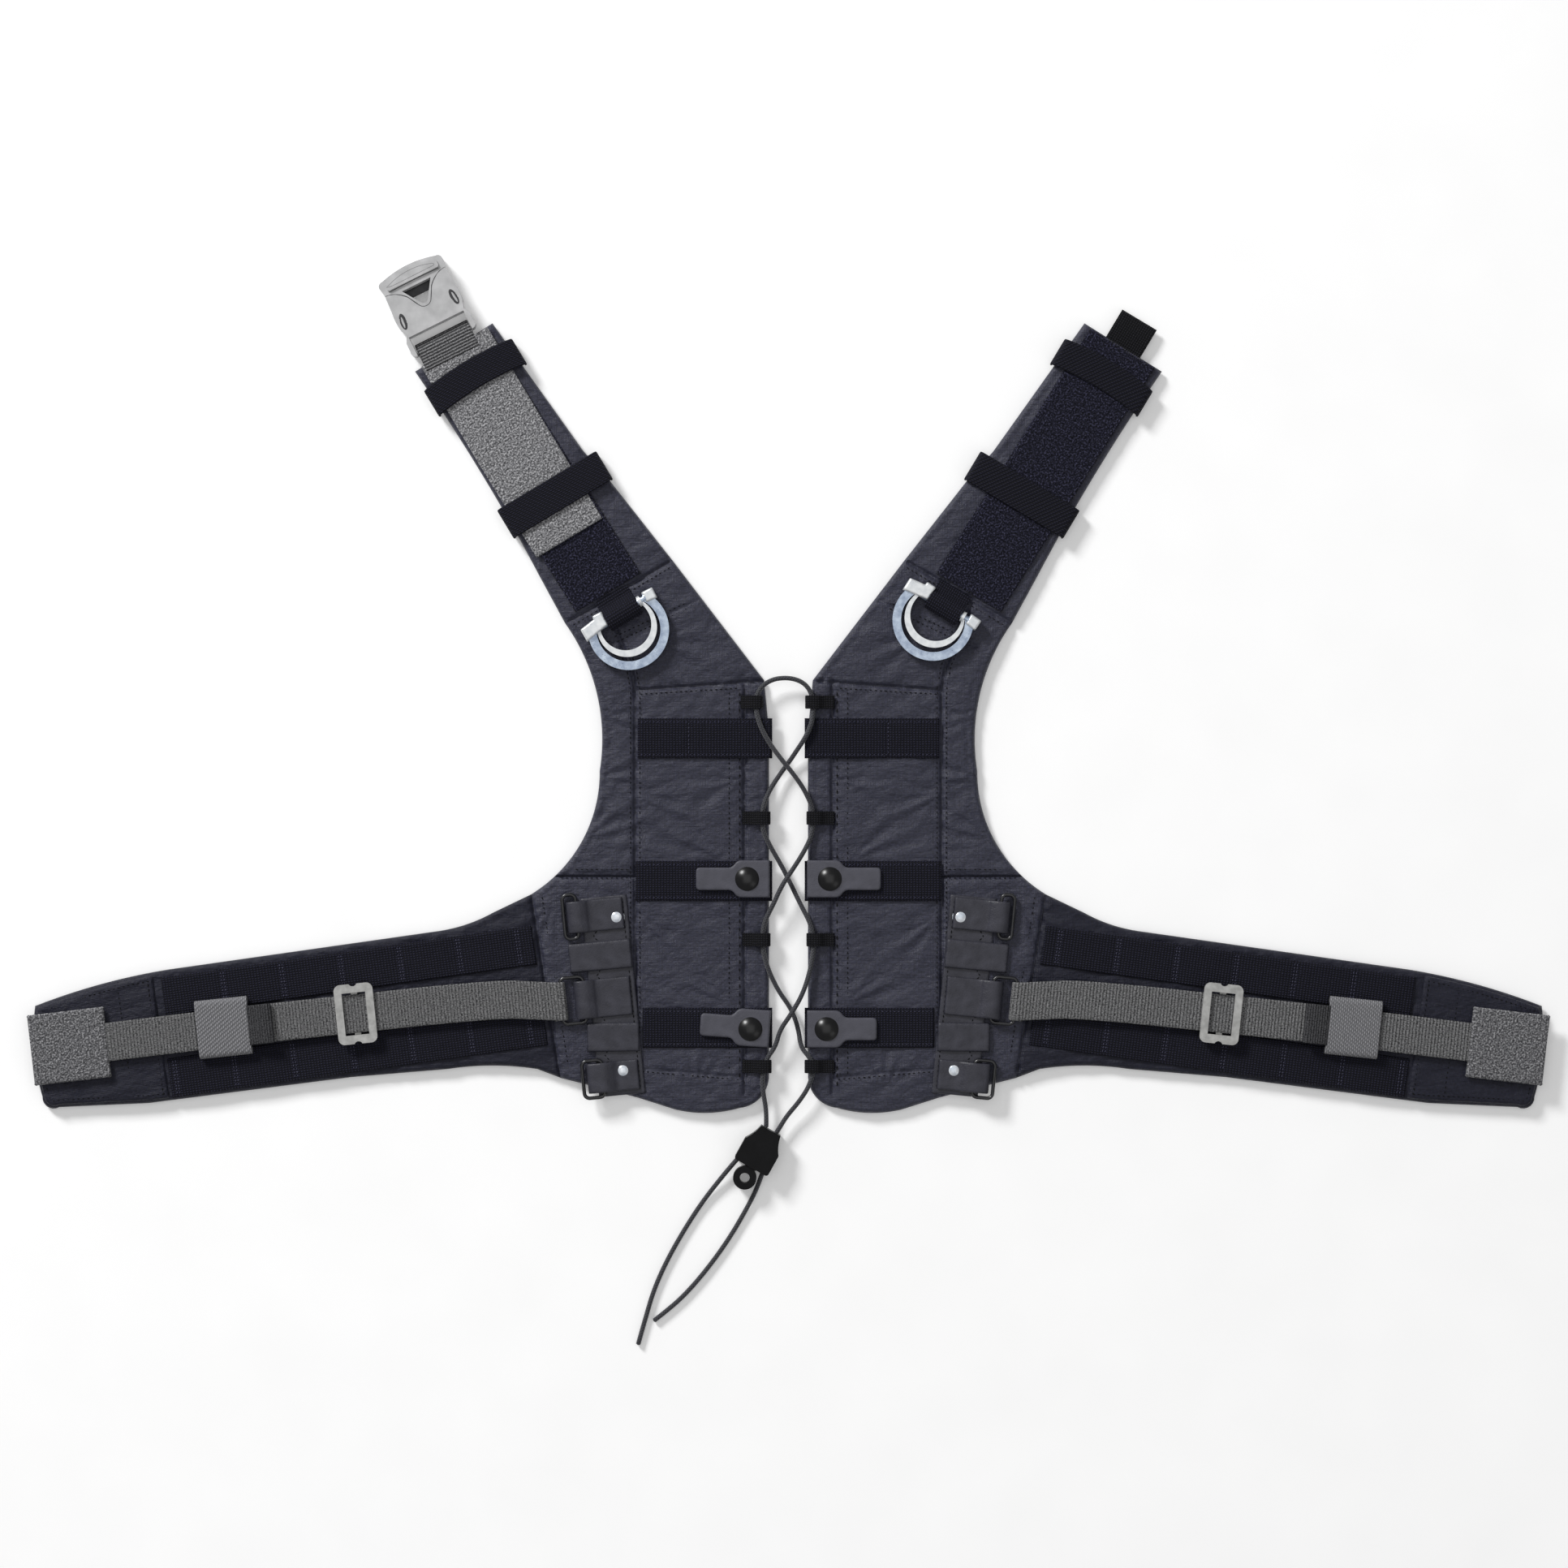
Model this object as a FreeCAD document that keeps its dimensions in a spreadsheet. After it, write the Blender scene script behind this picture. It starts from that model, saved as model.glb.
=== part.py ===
"""Lace-up safety harness vest: two padded halves laid flat, laced together by one shock cord.

Millimetres. Z is up and the vest lies on z = 0 with its outer face upward. X runs across the chest, Y runs
from hem to shoulders, and the origin is under the middle of the vest, cord lock and cord aside. Each half
has a torso panel, a shoulder strap and a belt wing, and the right half is the mirror image of the left.
"""
import FreeCAD
import Part
import Sketcher
import math
import os

App = FreeCAD
Vector = App.Vector
LEFT = -1
RIGHT = 1
SIDES = {"left": LEFT, "right": RIGHT}

DRIVING = {
    "torso_foam": 5,
    "cover_cloth": 1,
    "limb_foam": 6,
    "fold_gap": 0.15,
    "web_thick": 1.5,
    "web_wide": 25.4,
    "chest_row_wide": 25.8,
    "strip_wide": 49,
    "tape_wide": 8.5,
    "leather_thick": 2,
    "snap_diameter": 15.4,
    "snap_dome": 3.2,
    "rivet_diameter": 10.4,
    "rivet_dome": 2.4,
    "ring_wire": 2.4,
    "ring_plate": 3,
    "bar_diameter": 4,
    "bar_level": 10,
    "eye_diameter": 7,
    "run_clearance": 0.1,
    "cord_diameter": 3,
    "lock_thick": 12,
    "lock_length": 26.8,
    "plunger_diameter": 8.2,
    "buckle_wide": 45.2,
    "buckle_long": 53.5,
    "buckle_thick": 12,
}

doc = App.newDocument("safety_harness_vest")
sizes = doc.addObject("Spreadsheet::Sheet", "sizes")
for row, (alias, value) in enumerate(DRIVING.items(), start=1):
    sizes.set(f"A{row}", alias.replace("_", " "))
    sizes.set(f"B{row}", str(value))
    sizes.setAlias(f"B{row}", alias)
doc.recompute()


def size(alias):
    """The value of one driving dimension"""
    return float(sizes.get(alias))


CLOTH_TOP = size("torso_foam") + size("cover_cloth")
WEB_TOP = CLOTH_TOP + size("web_thick")
BAR = size("bar_level")
EXPORTED = []

# Local frames. In each, x is mirrored on the left half, so that it always points away from the centre line.
SHOULDER_SEAM = (108.7, 59.3, -31)
BELT_SEAM = (155.5, -193.4, -8)
STRAP_LINE = (154.87, -197.86, -6)
RING_PATCH = (97.5, -200, -5.5)
TORSO = (0, 0, 0)


def frame(seat, side, dx=0, dy=0, dz=0):
    """Placement of a point of one half's local frame: dx outward, dy along it and dz up"""
    x, y, turn = seat
    place = App.Placement(Vector(side * x, y, 0), App.Rotation(Vector(0, 0, 1), side * turn))
    return place.multiply(App.Placement(Vector(side * dx, dy, dz), App.Rotation()))


def add_outline(sketch, outline, side):
    """Close an outline in a sketch. A corner is (x, y) and an arc to a point is (middle x, middle y, x, y)."""
    ends = [Vector(side * point[-2], point[-1], 0) for point in outline]
    first = sketch.GeometryCount
    for index, point in enumerate(outline):
        start = ends[index - 1]
        end = ends[index]
        if len(point) == 4:
            middle = Vector(side * point[0], point[1], 0)
            sketch.addGeometry(Part.Arc(start, middle, end), False)
        else:
            sketch.addGeometry(Part.LineSegment(start, end), False)
    last = sketch.GeometryCount - 1
    for index in range(first, last + 1):
        following = first if index == last else index + 1
        joint = ends[index - first]
        here = nearest_end(sketch, index, joint)
        there = nearest_end(sketch, following, joint)
        sketch.addConstraint(Sketcher.Constraint("Coincident", index, here, following, there))


def nearest_end(sketch, index, point):
    """Which end of a sketch edge, 1 or 2, lies at a point"""
    gaps = [sketch.getPoint(index, end).distanceToPoint(point) for end in (1, 2)]
    return 1 if gaps[0] < gaps[1] else 2


def new_body(label, plane, outlines, side=RIGHT):
    """A body with one sketch on one of its own origin planes"""
    body = doc.addObject("PartDesign::Body", label)
    body.Label = label
    body.AllowCompound = True
    sketch = add_sketch(body, label + "_outline", plane, outlines, side)
    return body, sketch


def add_sketch(body, name, plane, outlines, side=RIGHT):
    """A sketch of closed outlines on one of a body's origin planes"""
    sketch = body.newObject("Sketcher::SketchObject", name)
    support = next(part for part in body.Origin.OriginFeatures if part.Role == plane)
    sketch.AttachmentSupport = [(support, "")]
    sketch.MapMode = "FlatFace"
    for outline in outlines:
        add_outline(sketch, outline, side)
    return sketch


def bound(length):
    """An expression for a length: a number, or the name of a driving dimension with a factor after it"""
    return f"sizes.{length}" if isinstance(length, str) else str(length)


def sheet_piece(label, outlines, thickness, place, side=RIGHT):
    """Flat outlines raised by a thickness of the sheet, upward from their placement"""
    body, sketch = new_body(label, "XY_Plane", outlines, side)
    pad = body.newObject("PartDesign::Pad", label + "_pad")
    pad.Profile = sketch
    pad.setExpression("Length", bound(thickness))
    body.Placement = place
    return body


def section_piece(label, plane, outlines, length, place, side=RIGHT):
    """A section on the XZ or YZ plane, drawn out equally both ways"""
    body, sketch = new_body(label, plane, outlines, side)
    pad = body.newObject("PartDesign::Pad", label + "_pad")
    pad.Profile = sketch
    pad.Midplane = True
    pad.setExpression("Length", bound(length))
    body.Placement = place
    return body


def cut_through(body, name, outlines, side=RIGHT):
    """Pocket flat outlines right through a flat body"""
    sketch = add_sketch(body, name, "XY_Plane", outlines, side)
    pocket = body.newObject("PartDesign::Pocket", name + "_cut")
    pocket.Profile = sketch
    pocket.Type = "ThroughAll"
    pocket.Reversed = True
    return pocket


def box(name, low, high, place=None):
    """A box between two corners of a local frame"""
    part = doc.addObject("Part::Box", name)
    spans = [str(top - bottom) for bottom, top in zip(low, high)]
    for prop, span in zip(("Length", "Width", "Height"), spans):
        part.setExpression(prop, span)
    corner = App.Placement(Vector(*low), App.Rotation())
    part.Placement = (place or App.Placement()).multiply(corner)
    return part


def cylinder(name, radius, length, start, direction, place=None):
    """A cylinder from a start point along a direction of a local frame; radius is an expression"""
    part = doc.addObject("Part::Cylinder", name)
    part.setExpression("Radius", str(radius))
    part.setExpression("Height", str(length))
    seat = App.Placement(Vector(*start), App.Rotation(Vector(0, 0, 1), Vector(*direction)))
    part.Placement = (place or App.Placement()).multiply(seat)
    return part


def dome(name, diameter, rise, place):
    """A domed cap on a flat base: a large ball cut to a short cylinder"""
    ball = doc.addObject("Part::Sphere", name + "_ball")
    radius = f"((sizes.{diameter} / 2)^2 + sizes.{rise}^2) / (2 * sizes.{rise})"
    ball.setExpression("Radius", radius)
    drop = (size(diameter) ** 2 / 4 + size(rise) ** 2) / (2 * size(rise)) - size(rise)
    ball.Placement = place.multiply(App.Placement(Vector(0, 0, -drop), App.Rotation()))
    rim = cylinder(name + "_rim", f"sizes.{diameter} / 2", f"sizes.{rise}", (0, 0, 0), (0, 0, 1), place)
    return common(name, ball, rim)


def common(name, base, tool):
    """What two shapes share"""
    part = doc.addObject("Part::Common", name)
    part.Base = base
    part.Tool = tool
    return part


def cut(name, base, tool):
    """One shape less another"""
    part = doc.addObject("Part::Cut", name)
    part.Base = base
    part.Tool = tool
    return part


def fuse(name, shapes):
    """Several shapes as one, or as a group where they don't meet"""
    part = doc.addObject("Part::MultiFuse", name)
    part.Shapes = shapes
    return part


def group(name, shapes):
    """Separate solids that share one node"""
    part = doc.addObject("Part::Compound", name)
    part.Links = shapes
    return part


def export(part, label):
    """Name a finished sub-part and keep it for export"""
    part.Label = label
    EXPORTED.append((part, label))
    return part


def rounded_path(points, radii):
    """Straight runs joined by tangent arcs, for an open route"""
    edges = []
    start = points[0]
    for index, radius in enumerate(radii, start=1):
        corner = points[index]
        back = (points[index - 1] - corner).normalize()
        ahead = (points[index + 1] - corner).normalize()
        half = back.getAngle(ahead) / 2
        reach = radius / math.tan(half)
        into = corner + back * reach
        out = corner + ahead * reach
        inward = (back + ahead).normalize()
        middle = corner + inward * (radius / math.sin(half) - radius)
        edges.append(Part.LineSegment(start, into).toShape())
        edges.append(Part.Arc(into, middle, out).toShape())
        start = out
    edges.append(Part.LineSegment(start, points[-1]).toShape())
    return Part.Wire(edges)


def swept_rod(path, radius):
    """A round rod along a path that starts at the path's first point"""
    first = path.OrderedEdges[0]
    start = first.valueAt(first.FirstParameter)
    along = first.tangentAt(first.FirstParameter)
    circle = Part.Wire([Part.Circle(start, along, radius).toShape()])
    return path.makePipeShell([circle], True, False)


def route_radii(points):
    """Arc radii of a cord's route: 0.45 of the shorter run over the tangent of half the turn"""
    radii = []
    for before, corner, after in zip(points, points[1:], points[2:]):
        turn = math.pi - (before - corner).getAngle(after - corner)
        shorter = min((before - corner).Length, (after - corner).Length)
        radii.append(0.45 * shorter / math.tan(turn / 2))
    return radii


def cord(label, route):
    """A cord's tube along its route, checked against its section times its length"""
    points = [Vector(*point) for point in route]
    radii = route_radii(points)
    radius = size("cord_diameter") / 2
    path = rounded_path(points, radii)
    part = doc.addObject("Part::Feature", label)
    part.Shape = swept_rod(path, radius)
    expected = math.pi * radius**2 * path.Length
    print(label, "length", round(path.Length, 1), "volume ratio", round(part.Shape.Volume / expected, 4))
    print(label, "radii", [round(value, 1) for value in radii])
    return export(part, label)


# ---------------------------------------------------------------- outlines, outward from the centre line
FOLD = size("fold_gap")
INNER_EDGE = 12.5
TORSO_OUTLINE = [
    (15.6, 2.9),
    (INNER_EDGE, -29.4),
    (INNER_EDGE, -250.4),
    (16.6, -263.4, 31.2, -271.7),
    (49.4, -274.8, 72.8, -272.7),
    (97.2, -264.9),
    (146.1 - FOLD, -252.5),
    (165.1 - FOLD, -134.4),
    (135.2, -104.8, 121.2, -55.4),
    (122.5, -8, 143.3 - FOLD / 2, 39.3 - FOLD),
    (74.1 - FOLD / 2, 79.3 - FOLD),
]
SHOULDER_OUTLINE = [
    (40, 0.6 + FOLD),
    (38.5, 34.9),
    (36.7, 83, 37.5, 155.7),
    (39.3, 189),
    (-19.3, 190),
    (-22.4, 150, -27.1, 89.6),
    (-31.9, 64.2),
    (-40, -0.6 + FOLD),
]
BELT_OUTLINE = [
    (1.1 + FOLD, 59.7),
    (27.4, 51.4),
    (45, 46.4, 65.1, 44.6),
    (238.5, 44.3),
    (283, 41, 326.7, 33),
    (331.6, 3, 330.2, -25.3),
    (328.5, -31.6, 320.3, -33.5),
    (263.3, -38.9),
    (132.2, -40.5),
    (69.7, -44),
    (38, -46.3, 13.1, -52),
    (-1.1 + FOLD, -59.7),
]
PLACKET_SEAM = [(28.1, 1.5), (28.1, -280)]
SIDE_SEAM = [(98.3, -280), (98.3, -3.4), (101, 12), (106.5, 25), (121, 56)]
YOKE_SEAM = [(5, 3), (98.3, -3.5)]
CHEST_ROWS = {"top": (10.4, 96.7, -34.4), "middle": (10.4, 98, -125.9), "bottom": (10.4, 93.6, -220)}
LOOP_LEVELS = (-11.2, -85.5, -163.5, -244.7)
LOOP_CENTRES = {(LEFT, 0): 21.3, (RIGHT, 0): 15.8, (LEFT, 3): 15.9, (RIGHT, 3): 15.4}
TAB_LEVELS = {"upper": -124.5, "lower": -220.7}
SNAP_REACH = {"upper": 26.5, "lower": 24.4}
TAB_REACH = {"upper": 59.3, "lower": 56.7}


def band(points, width):
    """A closed outline of a given width along a line of points, for a seam"""
    edge = []
    other = []
    for index, point in enumerate(points):
        before = points[max(index - 1, 0)]
        after = points[min(index + 1, len(points) - 1)]
        angle = math.atan2(after[1] - before[1], after[0] - before[0])
        across = (-math.sin(angle) * width / 2, math.cos(angle) * width / 2)
        edge.append((point[0] + across[0], point[1] + across[1]))
        other.append((point[0] - across[0], point[1] - across[1]))
    return edge + other[::-1]


def rectangle(low_x, high_x, low_y, high_y):
    """A rectangle's four corners"""
    return [(low_x, low_y), (high_x, low_y), (high_x, high_y), (low_x, high_y)]


def row(low_x, high_x, middle_y, width):
    """A strip along x of a given width"""
    return rectangle(low_x, high_x, middle_y - width / 2, middle_y + width / 2)


# ---------------------------------------------------------------- torso
def torso(half, side):
    """Foam pad, cover panels, webbing rows and lace loops of one half"""
    pad = sheet_piece(half + "_torso_pad", [TORSO_OUTLINE], "torso_foam", frame(TORSO, side), side)
    export(pad, half + "_torso_pad")

    place = frame(TORSO, side, dz=size("torso_foam"))
    cover = sheet_piece(half + "_torso_panels", [TORSO_OUTLINE], "cover_cloth", place, side)
    seam_gap = 0.6
    cut_through(cover, half + "_placket_seam", [band(PLACKET_SEAM, seam_gap)], side)
    cut_through(cover, half + "_side_seam", [band(SIDE_SEAM, seam_gap)], side)
    cut_through(cover, half + "_yoke_seam", [band(YOKE_SEAM, seam_gap)], side)
    export(cover, half + "_torso_panels")

    rows = [row(*span, size("chest_row_wide")) for span in CHEST_ROWS.values()]
    place = frame(TORSO, side, dz=CLOTH_TOP)
    webbing = sheet_piece(half + "_torso_webbing", rows, "web_thick", place, side)
    export(webbing, half + "_torso_webbing")

    loops = []
    for index, level in enumerate(LOOP_LEVELS):
        centre = LOOP_CENTRES.get((side, index), 16.6)
        loops.append(lace_loop(f"{half}_lace_loop_{index + 1}", centre, level, side))
    export(group(half + "_lace_loops", loops), half + "_lace_loops")


def lace_loop(name, centre, level, side):
    """A tape folded over the cord: a low tunnel at the inner edge with a flat tail sewn into the placket seam"""
    tail_end = 30
    tape = [
        (centre - 4.6, 6.05),
        (centre - 4.6, 9.8),
        (centre - 4.3, 10.5, centre - 3.6, 10.8),
        (centre + 3.6, 10.8),
        (centre + 6, 7.3),
        (tail_end, 7.3),
        (tail_end, 6.05),
    ]
    tunnel = rectangle(centre - 3.5, centre + 3.5, 6.45, 10)
    return section_piece(name, "XZ_Plane", [tape, tunnel], "tape_wide", frame(TORSO, side, dy=level), side)


def snap_tab(half, side, which):
    """A leather tab hinged on the inner edge by its rolled root, and the domed snap cap on it"""
    end = TAB_REACH[which] - INNER_EDGE
    outline = [
        (0, -12),
        (17, -12),
        (19.5, -11.6, 22, -9.6),
        (24, -7.8, 27, -7.3),
        (end - 2, -7.3),
        (end - 0.6, -6.7, end, -5.3),
        (end, 5.3),
        (end - 0.6, 6.7, end - 2, 7.3),
        (27, 7.3),
        (24, 7.8, 22, 9.6),
        (19.5, 11.6, 17, 12),
        (0, 12),
    ]
    name = f"{half}_{which}_snap_tab"
    underside = WEB_TOP + 0.4
    seat = {"dx": INNER_EDGE, "dy": TAB_LEVELS[which]}
    flat = sheet_piece(name + "_flat", [outline], "leather_thick", frame(TORSO, side, dz=underside, **seat), side)
    axis = underside + size("leather_thick") / 2
    root_place = frame(TORSO, side, dz=axis, **seat)
    root = cylinder(name + "_root", "sizes.leather_thick * 0.6", 24, (0, -12, 0), (0, 1, 0), root_place)
    export(fuse(name, [flat, root]), name)
    cap_seat = frame(TORSO, side, SNAP_REACH[which], TAB_LEVELS[which], underside + size("leather_thick"))
    cap_name = f"{half}_{which}_snap_cap"
    export(dome(cap_name, "snap_diameter", "snap_dome", cap_seat), cap_name)


# ---------------------------------------------------------------- leather ring holder and its wire rings
WIRE_LEVEL = 9
WIRE_RINGS = {
    # name: inner bar, outer bar, lower end, upper end, in the patch's frame
    "upper": (32.9, 41.4, 39.6, 70.4),
    "middle": (33, 48, -14.5, 17.5),
    "lower": (25.9, 39, -63.1, -36.8),
}
RING_LOOPS = [
    # outer edge, lower edge, upper edge, middle of the tunnel for the ring's inner bar
    (39.2, 44.5, 64.5, 32.9),
    (39.3, -9.6, 12.6, 33),
    (36.1, -58.2, -41.7, 25.9),
]
KEEPER_STRAPS = [(40.5, 19, 37.5), (34, -35, -16.5)]


def ring_holder(half, side):
    """A leather patch with three folded loops that hold the wire rings, and two straps between them"""
    name = half + "_ring_holder"
    pieces = []
    patch = rectangle(0, 30, -62, 66)
    place = frame(RING_PATCH, side, dz=CLOTH_TOP)
    pieces.append(sheet_piece(name + "_patch", [patch], "cover_cloth", place, side))
    for index, (edge, low, high, tunnel) in enumerate(RING_LOOPS):
        pieces.append(leather_loop(f"{name}_loop_{index + 1}", side, edge, low, high, tunnel))
    for index, (edge, low, high) in enumerate(KEEPER_STRAPS):
        strap = [rectangle(0.5, edge, low, high)]
        place = frame(RING_PATCH, side, dz=CLOTH_TOP)
        pieces.append(sheet_piece(f"{name}_strap_{index + 1}", strap, "leather_thick * 1.5", place, side))
    export(fuse(name, pieces), name)


def leather_loop(name, side, edge, low, high, tunnel):
    """A strap folded back on itself round a ring's inner bar, thin where it is sewn down"""
    fold = [
        (tunnel - 7, CLOTH_TOP),
        (tunnel - 7, CLOTH_TOP + 1.6),
        (tunnel - 3.6, CLOTH_TOP + 5.6),
        (tunnel + 2, CLOTH_TOP + 6, edge - 1.6, CLOTH_TOP + 5.2),
        (edge, CLOTH_TOP + 3, edge - 1.6, CLOTH_TOP),
    ]
    wire = size("ring_wire")
    hollow = rectangle(tunnel - wire, tunnel + wire, WIRE_LEVEL - 1.6, WIRE_LEVEL + 1.6)
    place = frame(RING_PATCH, side, dy=(low + high) / 2)
    return section_piece(name, "XZ_Plane", [fold, hollow], high - low, place, side)


def rivets(half, side):
    """Two domed rivets through the holder patch"""
    name = half + "_rivets"
    places = [(110.2, -149), (106.1, -247.3)]
    domes = []
    for index, (x, y) in enumerate(places):
        seat = frame(TORSO, side, x, y, CLOTH_TOP + size("cover_cloth") + 0.05)
        domes.append(dome(f"{name}_{index + 1}", "rivet_diameter", "rivet_dome", seat))
    export(group(name, domes), name)


def wire_ring(half, side, which):
    """A closed loop of round wire with well rounded ends"""
    inner, outer, low, high = WIRE_RINGS[which]
    radius = 3.4
    half_wire = size("ring_wire") / 2
    corners = [(inner, low + half_wire), (outer, low + half_wire), (outer, high - half_wire),
               (inner, high - half_wire)]
    middle = (low + high) / 2
    route = [Vector(side * inner, middle, 0)]
    route += [Vector(side * x, y, 0) for x, y in corners]
    route.append(route[0])
    path = rounded_path(route, [radius] * 4)
    name = f"{half}_{which}_wire_ring"
    ring = doc.addObject("Part::Feature", name)
    ring.Shape = swept_rod(path, half_wire)
    ring.Placement = frame(RING_PATCH, side, dz=WIRE_LEVEL)
    export(ring, name)


# ---------------------------------------------------------------- D-rings
D_RING_SEAT = {LEFT: 7, RIGHT: -4.5}
BAR_BELOW_SEAM = -12
TAB_OFFSET = 2
TAB_HALF = 11.5


def d_ring_place(side, along=0):
    """The middle of the D-ring's bar, shifted along the bar. The ring isn't mirrored between the halves."""
    x = D_RING_SEAT[side] + side * along
    return frame(SHOULDER_SEAM, side, x, BAR_BELOW_SEAM, BAR)


def hoop(name, side, outer, inner, eye_from, eye_to):
    """A flat hoop hung on the bar: (centre, radius) of its outer and inner edge below the bar, and its eyes"""
    centre_out, radius_out = outer
    centre_in, radius_in = inner
    half_out = math.sqrt(radius_out**2 - centre_out**2)
    half_in = math.sqrt(radius_in**2 - centre_in**2)
    outline = [
        (half_out, 0),
        (0, -centre_out - radius_out, -half_out, 0),
        (-half_in, 0),
        (0, -centre_in - radius_in, half_in, 0),
    ]
    place = d_ring_place(side)
    level = App.Placement(Vector(0, 0, -size("ring_plate") / 2), App.Rotation())
    plate = sheet_piece(name + "_plate", [outline], "ring_plate", place.multiply(level))
    eyes = []
    for end in (-1, 1):
        start = (min(end * eye_from, end * eye_to), 0, 0)
        eye = cylinder(f"{name}_eye_{end}".replace("-", "m"), "sizes.eye_diameter / 2", eye_to - eye_from,
                       start, (1, 0, 0), place)
        eyes.append(eye)
    solid = fuse(name + "_solid", [plate] + eyes)
    bore_radius = "sizes.bar_diameter / 2 + sizes.run_clearance"
    bore = cylinder(name + "_bore", bore_radius, 2 * eye_to + 2, (-eye_to - 1, 0, 0), (1, 0, 0), place)
    return export(cut(name, solid, bore), name)


def d_ring(half, side):
    """Webbing tab, cross bar, outer D-ring and the slim crescent ring inside it"""
    name = half + "_d_ring"
    hoop(name, side, (11.8, 26), (11.8, 20.5), 18.8, 24.5)
    hoop(name + "_inner", side, (10, 19.2), (8.2, 16.5), 14.35, 16.4)

    place = d_ring_place(side)
    rod = cylinder(name + "_rod", "sizes.bar_diameter / 2", 52, (-26, 0, 0), (1, 0, 0), place)
    head_radius = "sizes.bar_diameter / 2 + 0.8"
    heads = [
        cylinder(name + "_head_1", head_radius, 1.1, (-26, 0, 0), (1, 0, 0), place),
        cylinder(name + "_head_2", head_radius, 1.1, (24.9, 0, 0), (1, 0, 0), place),
    ]
    collar = cylinder(name + "_collar", "sizes.eye_diameter / 2", 3.8, (-14, 0, 0), (1, 0, 0), place)
    export(fuse(name + "_bar", [rod, collar] + heads), name + "_bar")

    wrap = size("eye_diameter") / 2 + 0.2
    floor = CLOTH_TOP + 0.1 - BAR
    sewn = -BAR_BELOW_SEAM - 2.5
    fold = [
        (0.5, floor),
        (sewn, floor),
        (sewn, floor + 1.5),
        (2, math.sqrt(wrap**2 - 4)),
        (-wrap, 0, 0, -wrap),
    ]
    tab = section_piece(name + "_tab", "YZ_Plane", [fold], 2 * TAB_HALF, d_ring_place(side, TAB_OFFSET))
    hole_radius = "sizes.bar_diameter / 2 + sizes.run_clearance"
    hole = cylinder(name + "_tab_hole", hole_radius, 60, (-30, 0, 0), (1, 0, 0), place)
    export(cut(name + "_tab_cut", tab, hole), name + "_tab")


# ---------------------------------------------------------------- shoulder straps
STRIP_FROM = 3
STRAP_END = 189
KEEPERS = {"lower": (64, 85, -33.4, 39.4), "upper": (157, 176, -24.2, 40.2)}


def shoulder(half, side):
    """Shoulder pad, loop-faced strip on it and the two elastic keepers round it"""
    pad = sheet_piece(half + "_shoulder_pad", [SHOULDER_OUTLINE], "limb_foam", frame(SHOULDER_SEAM, side), side)
    export(pad, half + "_shoulder_pad")

    wide = size("strip_wide")
    strip = [(6 - wide / 2, STRIP_FROM), (6 + wide / 2, STRIP_FROM), (10 + wide / 2, STRAP_END - 0.5),
             (10 - wide / 2, STRAP_END)]
    place = frame(SHOULDER_SEAM, side, dz=CLOTH_TOP)
    name = half + "_shoulder_loop_strip"
    export(sheet_piece(name, [strip], "web_thick", place, side), name)

    stack = WEB_TOP + (1.8 if side == LEFT else 0.2)
    bands = []
    for which, (low, high, inner, outer) in KEEPERS.items():
        top = stack + size("web_thick")
        elastic = [
            (inner, 1), (inner, top - 2), (inner + 0.6, top - 0.6, inner + 2, top),
            (outer - 2, top), (outer - 0.6, top - 0.6, outer, top - 2), (outer, 1),
            (outer - 1.2, 1), (outer - 1.2, stack), (inner + 1.2, stack), (inner + 1.2, 1),
        ]
        place = frame(SHOULDER_SEAM, side, dy=(low + high) / 2)
        bands.append(section_piece(f"{half}_{which}_keeper", "XZ_Plane", [elastic], high - low, place, side))
    export(group(half + "_shoulder_keepers", bands), half + "_shoulder_keepers")


BUCKLE_SEAT = App.Placement(Vector(-10.8, 220.9, 0), App.Rotation(Vector(0, 0, 1), -4.5))


def buckle_place(dz=0):
    """The middle of the buckle in the left shoulder's frame"""
    return frame(SHOULDER_SEAM, LEFT).multiply(BUCKLE_SEAT).multiply(App.Placement(Vector(0, 0, dz), App.Rotation()))


def grey_shoulder_strap():
    """Grey loop-faced strap over the left strip, and the ribbed webbing from it into the buckle"""
    name = "grey_shoulder_strap"
    wide = 49.6
    centre = 9.5
    strap = row(centre - wide / 2, centre + wide / 2, (46 + STRAP_END) / 2, STRAP_END - 46)
    place = frame(SHOULDER_SEAM, LEFT, dz=WEB_TOP + 0.1)
    base = sheet_piece(name + "_loop_face", [strap], "web_thick", place, LEFT)
    ribbed = [rectangle(-19, 19, -36, -14.2)]
    tail = sheet_piece(name + "_ribbed", ribbed, "web_thick", buckle_place(WEB_TOP + 0.1))
    export(fuse(name, [base, tail]), name)


SEAM_HEIGHT = 16
BUCKLE_FLOOR = 1


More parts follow.
